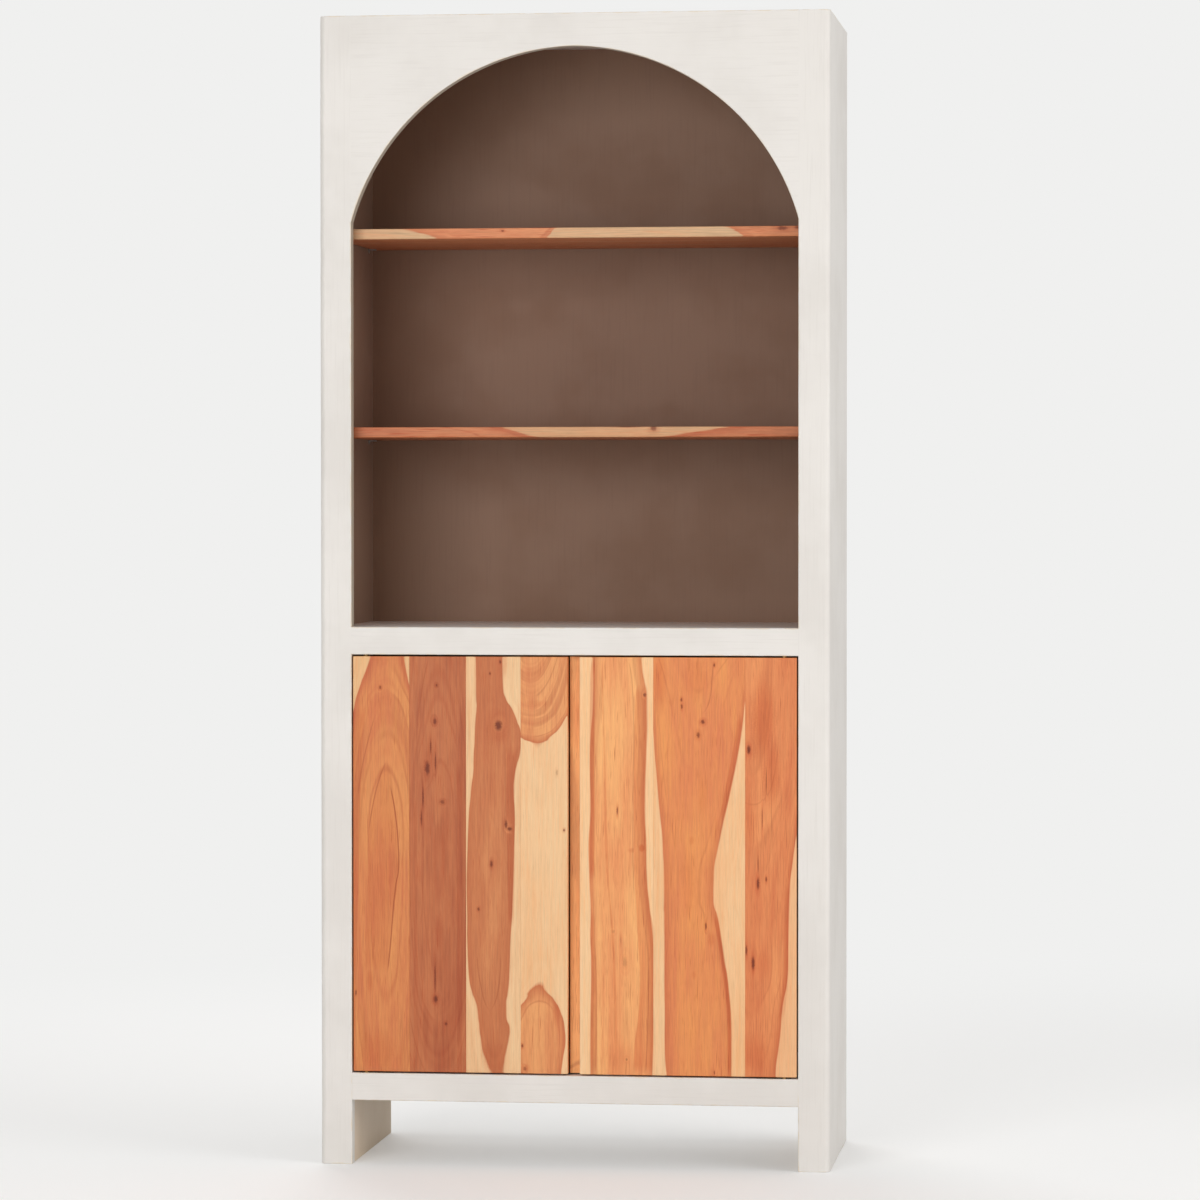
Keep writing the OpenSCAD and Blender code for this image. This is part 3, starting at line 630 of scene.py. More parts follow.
def milled_board(name, low, high, eases, wears, cuts=()):
    """A board with square cuts, its long and short edges eased.

    eases gives the radius in millimetres that each side allows, as (low, high) pairs for X, Y and Z, and an
    edge takes the smaller radius of its two sides. Edges of cuts stay square.
    """
    points, quads, axes, sides = lattice_skin(low, high, cuts)
    allowed = np.array(eases, dtype=float) * MM
    radius = np.where(sides < 0, 0.0, allowed[axes, np.maximum(sides, 0)])
    numbers = edge_numbers(np.stack([quads, np.roll(quads, -1, axis=1)], axis=-1), len(points)).ravel()
    order = np.argsort(numbers, kind="stable")
    first, second = order[0::2], order[1::2]
    corner = axes[first // 4] != axes[second // 4]
    rounding = np.where(corner, np.minimum(radius[first // 4], radius[second // 4]), 0.0)
    piece = new_piece(name, points, quads.tolist(), wears)
    ends = np.empty(len(piece.data.edges) * 2, dtype=np.int32)
    piece.data.edges.foreach_get("vertices", ends)
    found = np.searchsorted(numbers[first], edge_numbers(ends.reshape(-1, 2), len(points)))
    weights = piece.data.attributes.new("bevel_weight_edge", "FLOAT", "EDGE")
    widest = float(allowed.max())
    weights.data.foreach_set("value", (rounding[found] / widest).astype(np.float32))
    bevel = piece.modifiers.new("ease", "BEVEL")
    bevel.limit_method = "WEIGHT"
    bevel.width = widest
    bevel.segments = 3
    bevel.use_clamp_overlap = False
    settle(piece)
    shade(piece)
    return piece


def ring_quads(rings, corners):
    """Quads between the closed outlines of a loft, and a flat face at each end."""
    numbers = np.arange(rings * corners).reshape(rings, corners)
    following = np.roll(numbers, -1, axis=1)
    quads = np.stack([numbers[:-1], following[:-1], following[1:], numbers[1:]], axis=-1)
    return quads.reshape(-1, 4).tolist() + [numbers[0, ::-1].tolist(), numbers[-1].tolist()]


def hand_sanded(places, seed, amount=0.16):
    """How much more or less an edge was sanded here and there: a few slow waves, seeded."""
    draws = np.random.default_rng(seed)
    waves = np.zeros(len(places))
    for length in (0.9, 0.37, 0.16, 0.07):
        waves += np.sin(2 * pi * places / length + draws.uniform(0, 2 * pi)) * draws.uniform(0.3, 1.0)
    return 1 + amount * waves / 2


def eased_bar(name, low, high, along, radii, places, wears, seed, steps=6, end_ease=1.0 * MM):
    """A bar whose four long edges are rounded, each by a radius that changes along it.

    The outline is a rectangle with a quarter circle at each corner: centre + radius (cos turn, sin turn).
    radii has a row of four radii for each place along the bar, in the order in which the turn meets the
    corners. At both ends the outline draws in along a quarter circle.
    """
    side, up = (along + 1) % 3, (along + 2) % 3
    turn = np.linspace(0, pi / 2, num=4)
    inset = end_ease * (1 - np.sin(turn))
    step_in = end_ease * (1 - np.cos(turn))
    stations = np.concatenate([low[along] + step_in, places, high[along] - step_in[::-1]])
    insets = np.concatenate([inset, np.zeros(len(places)), inset[::-1]])
    radii = np.concatenate([np.repeat(radii[:1], 4, axis=0), radii, np.repeat(radii[-1:], 4, axis=0)])
    radii = radii * hand_sanded(stations, seed)[:, None]
    turns = (np.arange(4)[:, None] + np.linspace(0, 1, steps + 1)[None, :]) * pi / 2
    to_high = np.array([[1, 1], [0, 1], [0, 0], [1, 0]], dtype=bool)
    reach = radii[:, :, None]
    shrink = insets[:, None, None]
    across = np.where(to_high[None, :, :1], high[side] - shrink - reach, low[side] + shrink + reach)
    upward = np.where(to_high[None, :, 1:], high[up] - shrink - reach, low[up] + shrink + reach)
    points = np.empty((len(stations), 4, steps + 1, 3))
    points[..., along] = stations[:, None, None]
    points[..., side] = across + reach * np.cos(turns)[None]
    points[..., up] = upward + reach * np.sin(turns)[None]
    piece = new_piece(name, points.reshape(-1, 3), ring_quads(len(stations), 4 * (steps + 1)), wears)
    shade(piece)
    return piece


def corners_of(node):
    low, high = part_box(node)
    return tuple(low), tuple(high)


def stand_for(piece, body, slot, *nodes):
    """Let a piece ride on a body in place of its CAD nodes."""
    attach(piece, body)
    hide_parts(*nodes)


def hidden_sides(low, high, *sides):
    """The box for edge wear with the named sides pushed away, because they are joined to other boards."""
    low, high = list(low), list(high)
    for side in sides:
        axis = "XYZ".index(side[1])
        if side[0] == "-":
            low[axis] -= FAR
        else:
            high[axis] += FAR
    return tuple(low), tuple(high)


def painted_board(node, low, high, eases, joined_sides, stroke, cuts=(), **coat):
    """A milled board of the case in its paint, in place of its CAD node."""
    wears = paint("paint_" + node, *hidden_sides(low, high, *joined_sides), stroke, **coat)
    piece = milled_board(node + "_painted", low, high, eases, wears, cuts)
    stand_for(piece, "carcass", "carcass_paint", node)


# Stiles: the uprights of the face frame, with a rounded outer corner
def stile(side):
    """Each place along the stile has its own radius on the inner front edge: none where a rail or the header
    meets it flush, a fine seam at the bottom rail, and a sanded edge where it stands free.
    """
    node = "stile_" + side
    low, high = corners_of(node)
    ends = np.array([foot_z, cupboard_z, door_head_z, niche_z, spring_z])
    even = np.linspace(low[2] + 20 * MM, high[2] - 20 * MM, num=50)
    places = np.unique(np.concatenate([even, ends - 3 * MM, ends + 3 * MM]))
    flush = ((places > door_head_z) & (places < niche_z)) | (places > spring_z)
    at_bottom_rail = (places > foot_z) & (places < cupboard_z)
    free = np.where(flush, 0.06, np.where(at_bottom_rail, 0.25, 1.6)) * MM
    outer = np.full(len(places), 9.6 * MM)
    seam = np.full(len(places), 0.25 * MM)
    inner_back = np.where(places < cupboard_z, 0.25, 1.0) * MM
    edges = [inner_back, seam, outer, free] if side == "left" else [seam, inner_back, free, outer]
    # The stile's edge face in the niche takes the grey tan coat: painted shade
    wears = paint("paint_" + node, *hidden_sides(low, high, "+Y"), "Z", lined=stile_edge_painted_shade,
                  lining=PAINTED_SHADE_COAT, joined=frame_joints)
    seed = 10 if side == "left" else 12
    piece = eased_bar(node + "_painted", low, high, 2, np.stack(edges, axis=1), places, wears, seed)
    stand_for(piece, "carcass", "carcass_paint", node)


# Arched header: a board cut to two arcs, its arch edge eased by hand
def arched_header():
    """The outline stands above each point of the arch and is carried along both arcs.

    A point of an arc is its centre + radius (cos turn, sin turn). The eased edge goes out from it along
    the arc's own radius, and round a quarter circle from the soffit to the face.
    """
    spring_turn = atan2(arch_drop, open_x + crown_offset)
    crown_turn = atan2(sqrt(arch_r ** 2 - crown_offset ** 2), crown_offset)
    turns = np.linspace(spring_turn, crown_turn, num=72)
    right = np.stack([arch_r * np.cos(turns) - crown_offset, arch_z + arch_r * np.sin(turns)], axis=1)
    right[0, 0], right[-1, 0] = open_x, 0.0
    out = np.stack([np.cos(turns), np.sin(turns)], axis=1)
    out[-1] = (0.0, 1.0)
    flip = np.array([-1.0, 1.0])
    arc_x, arc_z = np.concatenate([right * flip, right[-2::-1]]).T
    out_x, out_z = np.concatenate([out * flip, out[-2::-1]]).T
    ease = 1.7 * MM * hand_sanded(np.arange(len(arc_x)) * 8.5 * MM, seed=5, amount=0.25)
    top_ease = 1.1 * MM
    rows = [(arc_x, frame_back_y, arc_z), (arc_x, frame_back_y, case_top)]
    turn = np.linspace(0, pi / 2, num=6)
    for angle in turn:
        off = top_ease * (1 - np.sin(angle))
        rows.append((arc_x, front_y + off, case_top - top_ease * (1 - np.cos(angle))))
    for angle in turn:
        off = ease * (1 - np.sin(angle))
        x = np.clip(arc_x + out_x * off, -open_x, open_x)
        rows.append((x, front_y + ease * (1 - np.cos(angle)), arc_z + out_z * off))
    points = np.stack([np.stack(np.broadcast_arrays(*row), axis=-1) for row in rows], axis=1)
    low, high = (-open_x, front_y, spring_z), (open_x, frame_back_y, case_top)
    # The arch's soffit takes the grey tan coat: painted shade
    wears = paint("paint_arched_header", *hidden_sides(low, high, "-X", "+X", "+Y", "-Z"), "X",
                  lined=soffit_painted_shade, lining=PAINTED_SHADE_COAT, arched=True)
    faces = ring_quads(len(arc_x), len(rows))
    piece = new_piece("arched_header_painted", points.reshape(-1, 3), faces, wears)
    shade(piece)
    stand_for(piece, "carcass", "carcass_paint", "arch_header")


def pocket(leaves, bottom, top):
    """The cut that lets a hinge leaf into a board, from the box of the door's leaves."""
    low, high = leaves
    return (*low[:2], bottom), (*high[:2], top)


# Rails: the level boards of the face frame, let in for the hinge leaves
def rail(node):
    low, high = corners_of(node)
    low, high = (-open_x, *low[1:]), (open_x, *high[1:])
    leaves = [corners_of("left_frame_leaves"), corners_of("right_frame_leaves")]
    leaf_depth = leaves[0][1][2] - door_head_z
    if node == "mid_rail":
        bottom, top, end_ease = low[2] - FAR, low[2] + leaf_depth, 0.06
    else:
        bottom, top, end_ease = high[2] - leaf_depth, high[2] + FAR, 0.25
    pockets = [pocket(pair, bottom, top) for pair in leaves]
    eases = (end_ease, end_ease), (1.6, 0.4), (1.6, 1.6)
    painted_board(node, low, high, eases, ("-X", "+X", "+Y"), "X", pockets)


# Side panels: housed for the boards and rebated for the back panel
def side_panel(side):
    node = "side_panel_" + side
    boards = "top_panel", "niche_floor_board", "cupboard_floor_board", "back_panel"
    eases = (1.8, 0.3) if side == "left" else (0.3, 1.8), (0.25, 1.8), (1.5, 1.2)
    painted_board(node, *corners_of(node), eases, ("-Y", "+X" if side == "left" else "-X"), "Z",
                  [corners_of(board) for board in boards], lined=side_lining)


# Boards inside the case: the top panel and the two floors
def level_board(node):
    painted_board(node, *corners_of(node), ((0.3, 0.3),) * 3, ("-X", "+X", "-Y", "+Y"), "X")


# Foot blocks: they double the side panels below the cupboard floor
def foot_block(side):
    node = "foot_block_" + side
    eases = (0.3, 1.4) if side == "left" else (1.4, 0.3), (0.25, 1.4), (1.2, 0.3)
    # The foot block's inner face takes the warm tan coat: painted shade in the warm tint of bounced light
    painted_board(node, *corners_of(node), eases, ("-Y", "+Z", "-X" if side == "left" else "+X"), "Z",
                  lined=foot_painted_shade, lining=PAINTED_WARM_SHADE_COAT)


# Wood tones: light and dark heartwood, sapwood, and the dark lines
def wood_tones(light, dark, sap, line=(166, 74, 40)):
    return srgb(*light), srgb(*dark), srgb(*sap), srgb(*line)


# Door boards, from the left hinge to the right one, in millimetres from the middle of the case and from the
# floor. heart is the heartwood's edges as (height, left, right), and where left is past right there is only
# sapwood. heart_radius is the heartwood's radius round the pith, and the rest is as the function wood has it
DOOR_BOARDS = {
    "left_door_board_1": dict(
        heart_radius=110, rings=0.8,
        heart=((163, -390, -270), (274, -400, -261), (400, -405, -255), (583, -407, -253), (704, -399, -260),
               (760, -391, -268), (808, -383, -278), (831, -376, -287), (850, -369, -292), (868, -362, -296),
               (887, -355, -299)),
        tones=wood_tones((218, 142, 84), (199, 105, 67), (230, 188, 138)),
        marks=((-339.5, 833, 1.6, 2.5), (-383, 300, 1.2, 4)),
        veins=((0.75, ((336, -327), (383, -322), (443, -317), (490, -312), (526, -307), (562, -308),
                       (605, -312), (662, -322))),
               (0.375, ((640, -379), (681, -374), (723, -365), (762, -355), (785, -348))),
               (0.45, ((581, -360), (620, -354), (660, -345), (690, -335), (704, -328)))),
        stains=((-360, 403, 9, 20, 0.3), (-358, 321, 8, 24, 0.35), (-345, 195, 40, 45, 0.3)),
        bands=((0.22, ((336, -366, -327), (443, -364, -317), (526, -362, -307), (581, -360, -308),
                      (640, -352, -315), (690, -338, -322), (704, -330, -326))),
               (0.35, ((163, -390, -384), (300, -390, -383), (500, -390, -378), (700, -390, -372),
                       (800, -390, -362))))),
    "left_door_board_2": dict(
        heart_radius=118, rings=0.75,
        heart=((163, -302, -170), (240, -314, -158), (350, -324, -148), (560, -328, -144), (790, -317, -155),
               (887, -311, -161)),
        tones=wood_tones((191, 113, 71), (160, 76, 45), (228, 184, 136)),
        marks=((-240, 837, 1.5, 2), (-243, 774, 2.4, 4), (-250.4, 730, 1.1, 10, 0.9),
               (-242, 704, 1.2, 13, 0.9), (-256.3, 692.5, 3.4, 9.5, 1), (-264, 643, 1.1, 14, 0.9),
               (-267, 606, 1.2, 11, 0.9), (-230, 634, 3.2, 2.8, 0.7), (-243.2, 328, 1.1, 20, 0.9),
               (-242, 290.5, 3, 5, 1), (-224, 247.5, 1.6, 2.2, 0.9)),
        veins=((0.3, ((420, -268), (560, -264), (700, -270))),
               (0.3, ((250, -208), (420, -203), (560, -207))),
               (0.375, ((740, -276), (789, -272), (820, -267), (850, -262), (883, -254)))),
        stains=((-236, 407, 10, 36, 0.35), (-253, 700, 14, 40, 0.35), (-225, 560, 9, 90, 0.25),
                (-262, 250, 12, 60, 0.25)),
        bands=((0.3, ((163, -282, -272), (400, -281, -274), (640, -282, -275))),
               (0.3, ((163, -206, -196), (420, -204, -194), (700, -206, -194))))),
    "left_door_board_3": dict(
        heart_radius=90, rings=0.75,
        heart=((163, -144, -124), (187, -155, -121), (205, -161, -117), (226, -164, -113), (241, -166, -112),
               (257, -168, -117), (276, -170, -118), (300, -178, -116), (336, -185, -113), (383, -187, -112),
               (431, -187, -109), (526, -187, -105), (595, -185, -103), (652, -180, -105), (681, -176, -103),
               (700, -175, -99), (726, -174, -93), (747, -173, -92), (773, -172, -98), (795, -170, -106),
               (816, -170, -119), (833, -170, -123), (887, -170, -124)),
        tones=wood_tones((212, 140, 90), (186, 102, 62), (238, 200, 153)),
        marks=((-131.4, 767.5, 5.2, 7, 1), (-128, 878, 1.6, 2.5), (-146.2, 858, 1.4, 2),
               (-118, 596, 2.2, 5.5, 0.95), (-112, 588, 3.4, 2.6, 0.95), (-143.8, 527, 2, 4.5, 0.9),
               (-166.7, 448, 1.8, 2.5)),
        veins=((0.33, ((612, -119), (660, -119.5), (742, -120))),
               (0.3, ((609, -162), (640, -163), (676, -162))),
               (0.375, ((271, -147), (290, -157), (312, -162), (340, -167), (373, -169.6))),
               (0.375, ((271, -147), (288, -137), (305, -132.6), (336, -129), (373, -128)))),
        stains=((-131, 767, 26, 40, 0.4), (-140, 190, 22, 40, 0.3), (-122, 880, 8, 30, 0.35)),
        bands=((0.4, ((420, -114, -104), (560, -117, -103), (640, -118, -103), (730, -114, -92))),)),
    "left_door_board_4": dict(
        heart_radius=95, rings=0.8,
        heart=((163, -100, -22), (193, -103, -18), (221, -105, -14), (245, -104, -16), (269, -97, -22),
               (281, -92, -27), (291, -83, -34), (299, -79, -41), (306, -76, -50), (313, -66, -58),
               (335, -40, -75), (450, -28, -98), (650, -38, -88), (725, -52, -73), (737, -64, -61),
               (742, -84, -47), (749, -95, -41), (757, -110, -31), (768, -121, -22), (780, -131, -15),
               (790, -140, -9), (840, -155, 4), (887, -165, 12)),
        tones=wood_tones((230, 160, 102), (206, 118, 74), (238, 199, 152)),
        marks=((-85.3, 171.4, 2.2, 3, 0.6), (-29, 686.6, 1.5, 4, 0.35), (-16.5, 586.7, 1.4, 2),
               (-90, 211, 1.4, 2.4)),
        stains=((-84, 172, 8, 9, 0.4), (-30, 268, 7, 34, 0.3), (-62, 806, 30, 7, 0.25))),
    "right_door_board_1": dict(
        heart_radius=140, rings=0.7,
        heart=((163, 29, 137), (264, 28, 139), (347, 30, 140.5), (395, 29, 138), (454, 30, 132),
               (519, 27.5, 127), (557, 26.5, 127), (628, 30, 124), (676, 29, 125), (723, 28.7, 127),
               (759, 30.5, 127.8), (795, 33, 127), (823, 33.4, 126.6), (842, 33.4, 124), (861, 33, 120.6),
               (887, 32, 118)),
        tones=wood_tones((243, 177, 113), (226, 139, 88), (241, 202, 156)),
        marks=((76.4, 621, 1, 5.5), (124.3, 822, 2.2, 2.8), (89.6, 359.4, 3, 7, 0.3),
               (92.5, 190, 1.6, 2, 0.5), (69.3, 411.7, 2, 2.2, 0.25), (82.5, 397, 1, 5, 0.25)),
        veins=((0.24, ((163, 38.5), (300, 39.5), (400, 37), (450, 36))),
               (0.3, ((470, 106), (520, 104), (640, 104), (760, 105), (830, 103), (880, 92))),
               (0.3, ((163, 125), (240, 129), (330, 131), (400, 128)))),
        stains=((119, 557, 9, 11, 0.9), (80, 190, 34, 40, 0.25), (105, 553, 12, 5, 0.4)),
        bands=((0.5, ((163, 103, 138), (205, 105, 139), (264, 112, 141), (330, 115, 142), (395, 112, 141),
                      (454, 109, 133), (519, 106, 128), (620, 105, 126), (720, 105, 128), (780, 106, 130),
                      (840, 112, 128))),
               (0.6, ((500, 28, 34), (560, 28, 37), (640, 28.5, 37), (720, 28, 37), (887, 32, 38))),
               (0.4, ((163, 30, 40), (300, 30, 41), (400, 30, 37), (450, 29, 36))),
               (0.35, ((163, 71, 76), (300, 70, 75), (400, 66, 71), (480, 60, 64), (560, 55, 60),
                       (720, 52, 56), (880, 48, 52))))),
    "right_door_board_2": dict(
        heart_radius=150, rings=0.55,
        heart=((163, 163, 274.6), (217, 159, 274), (264, 159.5, 273.4), (300, 159, 270.6), (336, 159, 267),
               (359, 159, 262.7), (395, 158.8, 258), (424, 158.8, 254), (445, 158.8, 249.5),
               (466, 158.8, 244), (502, 158.8, 244.6), (526, 158.6, 245.5), (550, 157, 250),
               (586, 154.5, 257.5), (621, 150.4, 265), (652, 147, 272), (688, 144, 279.5),
               (723, 140.8, 286.6), (757, 139, 291.6), (790, 136, 296), (812, 134, 298.5), (887, 122, 318)),
        tones=wood_tones((231, 151, 87), (214, 121, 79), (240, 198, 150)),
        marks=((188, 814, 1.4, 2.6), (188.6, 802, 1.3, 3.4), (225, 776, 2.8, 3, 0.9),
               (217.3, 753, 2.3, 4.2, 0.8), (245, 874, 1.4, 2.4), (230.5, 422.4, 1.2, 5, 0.9),
               (245, 169, 0.8, 3)),
        veins=((0.3, ((560, 252), (604, 259), (650, 269), (700, 280))),
               (0.3, ((240, 272), (300, 268), (360, 260.5), (420, 251))),
               (0.375, ((790, 222), (800, 232), (820, 238), (850, 241), (882, 243)))),
        stains=((150, 850, 14, 60, 0.4), (225, 650, 10, 40, 0.2), (200, 500, 16, 70, 0.2),
                (206, 571, 5, 9, 0.3), (210, 338, 4, 9, 0.3), (240, 400, 8, 14, 0.3),
                (215, 850, 28, 40, 0.2)),
        bands=((0.5, ((163, 268, 276), (264, 267, 275), (336, 260, 268), (395, 251, 259), (445, 243, 251))),
               (0.4, ((604, 252, 262), (652, 262, 273), (723, 276, 288), (790, 286, 298))))),
    "right_door_board_3": dict(
        heart_radius=130, rings=0.5,
        heart=((163, 269, 350), (182, 268, 351), (212, 264, 356), (241, 260, 359.5), (277, 257, 362),
               (300, 254, 365.6), (336, 250, 372), (383, 248, 373), (431, 246, 374), (490, 243, 376),
               (526, 241, 380), (600, 232, 390), (700, 215, 405), (887, 210, 410)),
        tones=wood_tones((229, 147, 92), (205, 108, 66), (236, 186, 138)),
        marks=((304.7, 728.4, 2.7, 6, 1), (320.7, 497.4, 1.8, 8, 1), (335, 505, 1.2, 3.5, 0.9),
               (300.7, 382, 1.3, 7, 0.9), (312.4, 359.6, 2.2, 9, 1), (321, 530, 0.6, 12),
               (335, 675, 0.6, 18), (328, 609, 0.6, 14)),
        veins=((0.3, ((560, 346), (640, 344), (760, 345))),),
        stains=((330, 780, 24, 90, 0.6), (345, 690, 20, 70, 0.5), (318, 200, 26, 40, 0.3),
                (305, 600, 12, 60, 0.35), (330, 360, 14, 34, 0.2)),
        bands=((0.3, ((260, 352, 364), (336, 364, 373), (431, 366, 375), (500, 368, 378))),)),
}


def door_board(node, order):
    """One board of a door, in its own figure, let in for the hinge leaves where it holds them.

    Its long edges are eased more where they are the edges of the door.
    """
    body = node[:node.index("_board")]
    low, high = corners_of(node)
    leaves = corners_of(body + "_leaves")
    leaf_depth = 2.5 * MM
    pockets = []
    if low[0] < leaves[0][0] < high[0]:
        pockets.append(pocket(leaves, low[2] - FAR, low[2] + leaf_depth))
        pockets.append(pocket(leaves, high[2] - leaf_depth, high[2] + FAR))
    door = [board for board in DOOR_BOARDS if board.startswith(body)]
    side_eases = [1.5 if node == end else 0.35 for end in (door[0], door[-1])]
    wears = wood("wood_" + node, "Z", front_y, seed=0.31 * order, **DOOR_BOARDS[node])
    piece = milled_board(node + "_sawn", low, high, (side_eases, (1.5, 0.6), (1.2, 1.2)), wears, pockets)
    stand_for(piece, body, "door_wood", node)


# Niche shelves: three strips glued side by side, with eased edges, seen mostly by the front edge. above is
# how far the middle of the heartwood lies above the shelf's middle, reach is half its height at places along
# the shelf, and marks have their height above the shelf's middle
SHELVES = {
    "upper_shelf": dict(
        seed=0.4, above=40, tones=wood_tones((226, 156, 110), (204, 126, 86), (206, 171, 132)),
        reach=((-418, 8), (-340, 20), (-300, 31), (-238, 49), (-180, 66), (-90, 62), (-48, 44), (-25, 22),
               (60, 6), (200, 8), (262, 31), (295, 49), (350, 70), (418, 78)),
        marks=((4, -129, 1.4, 2.2), (5, 359, 3, 7), (6, 386, 2, 5))),
    "lower_shelf": dict(
        seed=1.9, above=-40, tones=wood_tones((204, 133, 92), (180, 102, 68), (204, 160, 119)),
        reach=((-418, 78), (-250, 70), (-137, 49), (-80, 31), (-30, 12), (60, 6), (130, 18), (160, 31),
               (268, 49), (330, 62), (418, 72)),
        marks=((6.5, 135, 4, 4.4), (9, 90, 0.9, 16))),
}


def niche_shelf(node, seed, above, tones, reach, marks):
    low, high = corners_of(node)
    middle = (low[2] + high[2]) / 2 / MM
    heart = [(place, middle + above - half, middle + above + half) for place, half in reach]
    marks = [(middle + up, *mark) for up, *mark in marks]
    strip = (high[1] - low[1]) / 3
    wears = wood("wood_" + node, "X", low[1], seed, heart, tones, marks=marks, streaks=3.5, glued=strip)
    places = np.linspace(low[0] + 15 * MM, high[0] - 15 * MM, num=40)
    radii = np.tile(np.array([1.0, 1.4, 2.2, 1.0]) * MM, (len(places), 1))
    piece = eased_bar(node + "_sawn", low, high, 0, radii, places, wears, seed=11, steps=4)
    stand_for(piece, "carcass", "door_wood", node)


def dress(node, wears):
    """Give a CAD node its finish."""
    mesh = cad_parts[node].data
    mesh.materials.clear()
    mesh.materials.append(wears)


# Plain wood inside, with its grain, half the width of its heartwood in millimetres, its seed and its tones
BATTEN_TONES = wood_tones((206, 150, 104), (182, 124, 82), (222, 184, 138))
# The meeting strip's tones are lighter than the boards' own wood: painted light that lifts the shade of its
# recess
STRIP_TONES_WITH_PAINTED_LIGHT = wood_tones((255, 190, 124), (236, 152, 94), (250, 206, 156))
PLAIN_WOOD = {
    "cupboard_shelf": ("X", 120, 2.7, BATTEN_TONES),
    "left_door_lower_batten": ("X", 110, 3.3, BATTEN_TONES),
    "left_door_upper_batten": ("X", 110, 3.8, BATTEN_TONES),
    "right_door_lower_batten": ("X", 110, 4.3, BATTEN_TONES),
    "right_door_upper_batten": ("X", 110, 4.8, BATTEN_TONES),
    "meeting_strip": ("Z", 110, 4.1, STRIP_TONES_WITH_PAINTED_LIGHT),
    "stile_dowels": ("X", 150, 5.2, BATTEN_TONES),
    "foot_dowels": ("X", 150, 5.9, BATTEN_TONES),
}


def plain_wood(node, grain, half, seed, tones):
    """Even heartwood whose pith lies behind the middle of the piece."""
    low, high = corners_of(node)
    along, across = (0, 2) if grain == "X" else (2, 0)
    start, end = low[along] / MM, high[along] / MM
    middle = (low[across] + high[across]) / 2 / MM
    heart = ((start, middle - half, middle + half),
             ((start + end) / 2, middle - half * 0.85, middle + half * 0.85),
             (end, middle - half, middle + half * 0.9))
    dress(node, wood("wood_" + node, grain, low[1], seed, heart, tones, heart_radius=160))


# Metal and plastic of the hardware
def metal(name, colour, dull, roughness, drawn):
    """Worked metal: long fine scratches, and dull patches where it has been handled or has tarnished.

    drawn is how much the position is drawn together along X, Y and Z for the scratches.
    """
    made, wiring, shader, position = material(name, metallic=1.0)
    scratches = (position * drawn).noise(2600.0, 2.0, 0.6)
    patches = position.noise(120.0, 3.0).ramp(0.4, 0.68)
    rough = scratches * 0.16 + patches.ramp(0.0, 1.0, roughness, roughness + 0.15)
    tone = wiring.mix(patches * 0.6, colour, dull)
    lay_on(wiring, shader, tone, rough, scratches, relief=0.02 * MM)
    return made


def moulded_plastic(name, colour, cloud):
    """Moulded plastic with a fine grain."""
    made, wiring, shader, position = material(name)
    grain = position.noise(1800.0, 1.0)
    tone = wiring.mix(position.noise(60.0).ramp(0.3, 0.7), colour, cloud)
    lay_on(wiring, shader, tone, grain.ramp(0.2, 0.8, 0.38, 0.5), grain, relief=0.04 * MM)
    return made


def dress_hardware():
    """Each node's finish follows from the last word of its name."""
    brass = metal("brass", srgb(150, 118, 70), srgb(104, 82, 50), roughness=0.4, drawn=(0.06, 1.0, 1.0))
    steel = metal("steel", srgb(186, 186, 184), srgb(136, 134, 130), roughness=0.28, drawn=(1.0, 1.0, 0.06))
    magnet = metal("magnet", srgb(120, 120, 124), srgb(84, 84, 88), roughness=0.4, drawn=(1.0, 0.2, 1.0))
    plastic = moulded_plastic("catch_plastic", srgb(228, 224, 214), srgb(216, 211, 200))
    finishes = {
        "leaves": brass, "washers": brass, "screws": brass, "nails": steel, "pins": steel,
        "plate": steel, "screw": steel, "bodies": plastic, "magnets": magnet,
    }
    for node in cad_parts:
        finish = finishes.get(node.split("_")[-1])
        if finish:
            dress(node, finish)


def dress_back_panel():
    box = hidden_sides(*corners_of("back_panel"), "-X", "+X", "-Z", "+Z", "+Y")
    dress("back_panel", paint("paint_back_panel", *box, "Z", lined=back_lining))


# Floor, light and camera
BACKDROP = srgb(240, 240, 239)


def pale_floor():
    """A flat disc in rings and spokes, its paint turning into the backdrop's colour far from the case.

    Seen from below it is clear, so that it doesn't hide the case.
    """
    spokes = np.linspace(0, 2 * pi, 64, endpoint=False)
    radii = np.geomspace(0.5, 40.0, 20)[:, None]
    rings = np.broadcast_arrays(radii * np.cos(spokes), radii * np.sin(spokes), 0.0)
    points = np.concatenate([np.zeros((1, 3)), np.stack(rings, axis=-1).reshape(-1, 3)])
    numbers = 1 + np.arange(len(radii) * len(spokes)).reshape(len(radii), -1)
    following = np.roll(numbers, -1, axis=1)
    quads = np.stack([numbers[:-1], numbers[1:], following[1:], following[:-1]], axis=-1).reshape(-1, 4)
    middle = np.stack([np.zeros_like(numbers[0]), numbers[0], following[0]], axis=-1)

    made, wiring, shader, position = material("pale_floor", roughness=0.75, gloss=0.2)
    shader.inputs["Base Color"].default_value = srgb(230, 230, 230)
    shader.inputs["Emission Color"].default_value = BACKDROP
    x, y, z = position.parts()
    seen = wiring.values("ShaderNodeLightPath")["Is Camera Ray"]
    wiring.feed(shader.inputs["Emission Strength"], seen * 0.2)
    far = (x * x + y * y).root().ramp(1.0, 3.6) * seen
    glow = wiring.value("ShaderNodeEmission", {"Color": BACKDROP, "Strength": 1.0})
    below = wiring.values("ShaderNodeNewGeometry")["Backfacing"] * seen
    painted = wiring.blend(far, Value(wiring, shader.outputs[0]), glow)
    surface = wiring.blend(below, painted, wiring.value("ShaderNodeBsdfTransparent"))
    wiring.feed(made.node_tree.nodes["Material Output"].inputs["Surface"], surface)
    floor = new_piece("pale_floor", points, middle.tolist() + quads.tolist(), made)


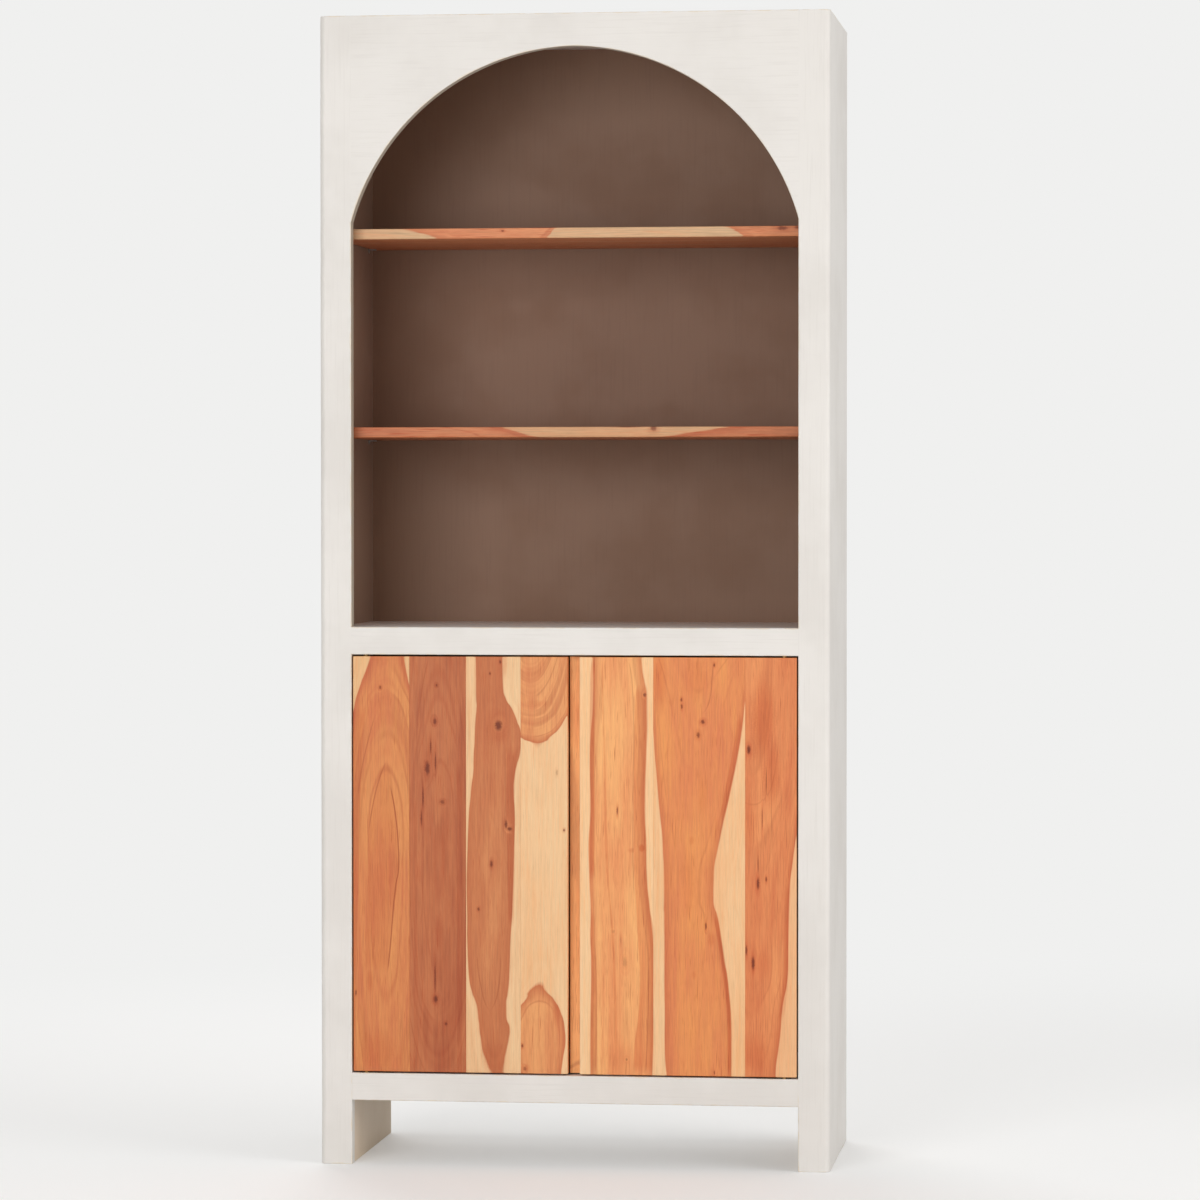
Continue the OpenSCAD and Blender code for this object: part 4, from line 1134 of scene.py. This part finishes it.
def studio_world(strength):
    """Even light from all round, and the plain backdrop wherever the camera, gloss or glass looks past."""
    world = bpy.data.worlds.new("studio")
    bpy.context.scene.world = world
    world.use_nodes = True
    wiring = Wiring(world.node_tree)
    ray = wiring.values("ShaderNodeLightPath")
    seen = ray["Is Camera Ray"].larger(ray["Is Transmission Ray"]).larger(ray["Is Glossy Ray"])
    even = wiring.value("ShaderNodeBackground", {"Color": srgb(255, 254, 252), "Strength": strength})
    plain = wiring.value("ShaderNodeBackground", {"Color": BACKDROP, "Strength": 1.0})
    wiring.feed(world.node_tree.nodes["World Output"].inputs["Surface"], wiring.blend(seen, even, plain))


def soft_lamp(name, place, aimed_at, size, power):
    """A large area lamp that faces the middle of the case at the height aimed_at."""
    lamp = bpy.data.lights.new(name, "AREA")
    lamp.size = size
    lamp.energy = power
    lamp.color = (1.0, 0.99, 0.98)
    holder = in_scene(name, lamp)
    holder.location = place
    holder.rotation_euler = (Vector((0, 0, aimed_at)) - Vector(place)).to_track_quat("-Z", "Y").to_euler()


def camera(place, tilt, roll, turn):
    """The photograph's view: a long lens from the right of the middle, a little above half height."""
    lens = bpy.data.cameras.new("camera")
    lens.lens = 137.3
    lens.sensor_width = 36.0
    lens.clip_end = 200.0
    holder = in_scene("camera", lens)
    holder.location = place
    holder.rotation_euler = (radians(90 + tilt), radians(roll), radians(turn))
    bpy.context.scene.camera = holder


# The case
for side in ("left", "right"):
    stile(side)
    side_panel(side)
arched_header()
for node in ("mid_rail", "bottom_rail"):
    rail(node)
for node in ("top_panel", "niche_floor_board", "cupboard_floor_board"):
    level_board(node)
for side in ("left", "right"):
    foot_block(side)
dress_back_panel()

# The wood
for order, node in enumerate(DOOR_BOARDS):
    door_board(node, order)
for node, figure in SHELVES.items():
    niche_shelf(node, **figure)
for node, figure in PLAIN_WOOD.items():
    plain_wood(node, *figure)

# The hardware
dress_hardware()

# The studio
camera(place=(1.037, -8.051, 1.153), tilt=-1.21, roll=0.022, turn=7.191)
pale_floor()
studio_world(strength=0.43)
soft_lamp("key_lamp", place=(-1.4, -5.2, 1.8), aimed_at=1.0, size=2.6, power=110)
soft_lamp("fill_lamp", place=(4.4, -2.2, 1.7), aimed_at=1.0, size=3.0, power=88)
soft_lamp("back_lamp", place=(-1.6, 4.4, 3.4), aimed_at=1.2, size=3.0, power=84)
soft_lamp("top_lamp", place=(0.3, 0.2, 4.7), aimed_at=2.0, size=2.0, power=24)
bpy.context.scene.view_settings.view_transform = "Standard"
